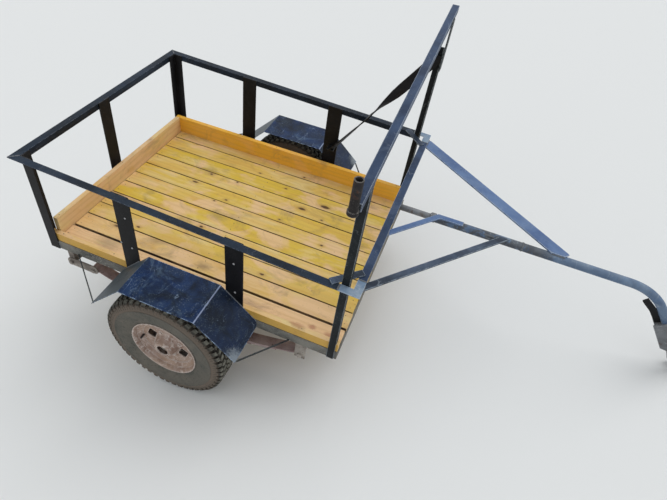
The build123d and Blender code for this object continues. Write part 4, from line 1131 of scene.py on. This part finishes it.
# Braces and strut on the rail's edge and on the pipe.
for y, reach in ((-half + 0.016, 0.011), (half - 0.033, 0.022), (-0.183, 0.010)):
    weldRow((length + over, y - reach, braceTop + 0.0004), (length + over, y + reach, braceTop + 0.0004), (1, 0, 1))
weldRow((pipeStart + 0.098, -0.016, braceTop - 0.004), (pipeStart + 0.098, 0.004, braceTop - 0.004), (1, 0, 1))
weldRow(
    (pipeStart + 0.400, -0.0048, braceTop - 0.0052), (pipeStart + 0.438, -0.0048, braceTop - 0.0052), (0, -1, 1)
)
weldRow((pipeStart + 0.228, -0.0062, braceTop - 0.0058), (pipeStart + 0.255, -0.0062, braceTop - 0.0058), (0, 1, 1))
for x in (pipeStart + 0.175, pipeStart + 0.215):
    weldRow((x, -0.0135, braceTop - 0.0085), (x + 0.030, -0.0135, braceTop - 0.0085), (0, -1, 1))
for ringX, ringRadius in (
    (length + 0.0045, 0.0120), (pipeStart - 0.014, 0.0125), (pipeStart + 0.0005, 0.0155), (length + 0.455, 0.0146)
):
    weldRing(ringX, pipeZ, ringRadius)
# The cross bar on its posts, the socket, and the cheeks on the pipe.
weldRow((barFront - 0.002, -half + 0.001, 0.7488), (barFront - 0.024, -half + 0.001, 0.7488), (0, -1, 1))
weldRow((barFront - 0.001, -half + 0.001, 0.7490), (barFront - 0.001, -half + 0.024, 0.7515), (1, 0, -1))
weldRow((barFront + 0.0005, half - 0.0385, 0.850), (barFront + 0.0005, half - 0.0385, 0.866), (1, -1, 0))
weldRow((barFront + 0.0005, half - 0.0035, 0.854), (barFront + 0.0005, half - 0.0035, 0.870), (1, 1, 0))
weldRow((barFront + 0.0005, half - 0.023, 0.6838), (barFront + 0.0005, half - 0.005, 0.6838), (1, 0, -1))
for x in (barFront - 0.0235, barFront - 0.0095):
    weldRow((x, -half - 0.0815, 0.7445), (x, -half - 0.0815, 0.7635), (1 if x > barFront - 0.017 else -1, -0.5, 0))
forward = Vector((math.cos(hitchFall), 0, -math.sin(hitchFall)))
upward = Vector((math.sin(hitchFall), 0, math.cos(hitchFall)))
for hand in (-1, 1):
    for way in (1, -1):
        edge = Vector((bendEnd[0], hand * 0.0147, bendEnd[1])) + upward * way * 0.0135
        weldRow(edge + forward * 0.060, edge + forward * 0.170, upward * way)
scatter(
    "weldBeads", "bead", weldSpots, "rusty_dark_paint", materials["weld"], Radius=welds["radius"],
    Height=welds["height"], Stretch=0.75, Vary=0.22, Seed=9,
)

# Nuts on the clamp studs, on the spindles and round each hub, and valve stems.
bolts = {
    "clampRadius": 0.0080, "clampHeight": 0.0075, "spindleRadius": 0.0100, "spindleHeight": 0.0080,
    "wheelRadius": 0.0062, "wheelHeight": 0.0055, "wheelCircle": 0.057, "wheelOut": 0.0222, "wheelTurn": 24,
    "valveRadius": 0.0042, "valveHeight": 0.0040, "valveCircle": 0.103, "valveOut": 0.0235, "valveStep": 0.004,
    "valveTurn": 184,
}
springMiddle = half - 0.013 - 0.0215
clampTop = bedSizes["axleZ"] + 0.020 + 0.006
clampSpots = []
for hand in (-1, 1):
    for dx in (-0.026, 0.026):
        for dy in (-0.0275, 0.0275):
            clampSpots.append(
                ((bedSizes["axleX"] + dx, hand * springMiddle + dy, clampTop), (0, 0, 1), (1, 0.3, 0))
            )
scatter(
    "clampNuts", "bolt", clampSpots, "muddy_steel", materials["greyMud"], Radius=bolts["clampRadius"],
    Height=bolts["clampHeight"], Vary=0.03, Seed=6,
)
for handName, hand in (("right", -1), ("left", 1)):
    centre = Vector((bedSizes["axleX"], hand * bedSizes["wheelCentreY"], bedSizes["axleZ"]))
    scatter(
        "spindleNut_" + handName, "bolt", [(centre + Vector((0, hand * 0.0305, 0)), (0, hand, 0), (1, 0, 0.4))],
        "muddy_steel", materials["greyMud"], Radius=bolts["spindleRadius"], Height=bolts["spindleHeight"], Vary=0.0,
        Seed=1,
    )
    wheelSpots = []
    for k in range(4):
        angle = math.radians(bolts["wheelTurn"] + 90 * k)
        x, z = math.cos(angle), math.sin(angle)
        place = centre + Vector((bolts["wheelCircle"] * x, hand * bolts["wheelOut"], bolts["wheelCircle"] * z))
        wheelSpots.append((place, (0, hand, 0), (x, 0, z)))
    scatter(
        "wheelNuts_" + handName, "bolt", wheelSpots, "dusty_rim", materials["rim"], body="wheel_" + handName,
        Radius=bolts["wheelRadius"], Height=bolts["wheelHeight"], Vary=0.03, Seed=7,
    )
    angle = math.radians(bolts["valveTurn"])
    x, z = bolts["valveCircle"] * math.cos(angle), bolts["valveCircle"] * math.sin(angle)
    valveSpots = []
    for i in range(5):
        place = centre + Vector((x, hand * (bolts["valveOut"] + bolts["valveStep"] * i), z))
        valveSpots.append((place, (0, hand, 0), (1, 0, 0)))
    scatter(
        "valveStem_" + handName, "head", valveSpots, "tyre", materials["valve"], body="wheel_" + handName,
        Radius=bolts["valveRadius"], Height=bolts["valveHeight"], Vary=0.08, Seed=3,
    )
print("details placed:", len(nailSpots), "nails,", len(weldSpots), "beads")


# Floor, light and camera.
studio = {
    "floorColour": (0.80, 0.80, 0.79), "worldStrength": 0.72, "sunStrength": 1.0, "sunAngle": 50.0,
    "sunTurn": (38.0, 0.0, 130.0), "skyColour": (0.93, 0.97, 1.0), "floorReach": 14,
}


def makeStudio():
    mesh = bpy.data.meshes.new("studioFloor")
    reach = studio["floorReach"]
    corners = [(-reach, -reach, 0), (reach, -reach, 0), (reach, reach, 0), (-reach, reach, 0)]
    mesh.from_pydata(corners, [], [(0, 1, 2, 3)])
    floor = bpy.data.objects.new("studioFloor", mesh)
    bpy.context.scene.collection.objects.link(floor)
    material = bpy.data.materials.new("studioFloor")
    material.use_nodes = True
    shader = material.node_tree.nodes["Principled BSDF"]
    shader.inputs["Base Color"].default_value = (*studio["floorColour"], 1)
    shader.inputs["Roughness"].default_value = 0.9
    mesh.materials.append(material)
    sky = bpy.data.worlds.new("studioSky")
    bpy.context.scene.world = sky
    sky.use_nodes = True
    tree = sky.node_tree
    background = tree.nodes["Background"]
    background.inputs["Color"].default_value = (*studio["skyColour"], 1)
    background.inputs["Strength"].default_value = studio["worldStrength"]
    white = addNode(tree, "ShaderNodeBackground")
    white.inputs["Color"].default_value = (1, 1, 1, 1)
    path = addNode(tree, "ShaderNodeLightPath")
    seen = mathNode(
        tree, "MAXIMUM", path.outputs["Is Camera Ray"],
        mathNode(tree, "MAXIMUM", path.outputs["Is Glossy Ray"], path.outputs["Is Transmission Ray"]),
    )
    mix = addNode(tree, "ShaderNodeMixShader")
    tree.links.new(seen, mix.inputs[0])
    tree.links.new(background.outputs[0], mix.inputs[1])
    tree.links.new(white.outputs[0], mix.inputs[2])
    tree.links.new(mix.outputs[0], tree.nodes["World Output"].inputs["Surface"])
    lamp = bpy.data.lights.new("softSun", "SUN")
    lamp.energy = studio["sunStrength"]
    lamp.angle = math.radians(studio["sunAngle"])
    sun = bpy.data.objects.new("softSun", lamp)
    sun.rotation_euler = [math.radians(a) for a in studio["sunTurn"]]
    bpy.context.scene.collection.objects.link(sun)


def makeCamera():
    view = {
        "place": (0.5266, -1.4270, 1.6403), "turn": (51.501, 7.476, 22.062), "lens": 27.492,
        "shift": (0.030375, -0.027087),
    }
    lens = bpy.data.cameras.new("photoCamera")
    lens.lens = view["lens"]
    lens.shift_x, lens.shift_y = view["shift"]
    lens.clip_start = 0.05
    camera = bpy.data.objects.new("photoCamera", lens)
    camera.location = view["place"]
    camera.rotation_euler = [math.radians(a) for a in view["turn"]]
    bpy.context.scene.collection.objects.link(camera)
    bpy.context.scene.camera = camera


makeStudio()
makeCamera()
bpy.context.scene.view_settings.view_transform = "Standard"
print("studio and camera set")
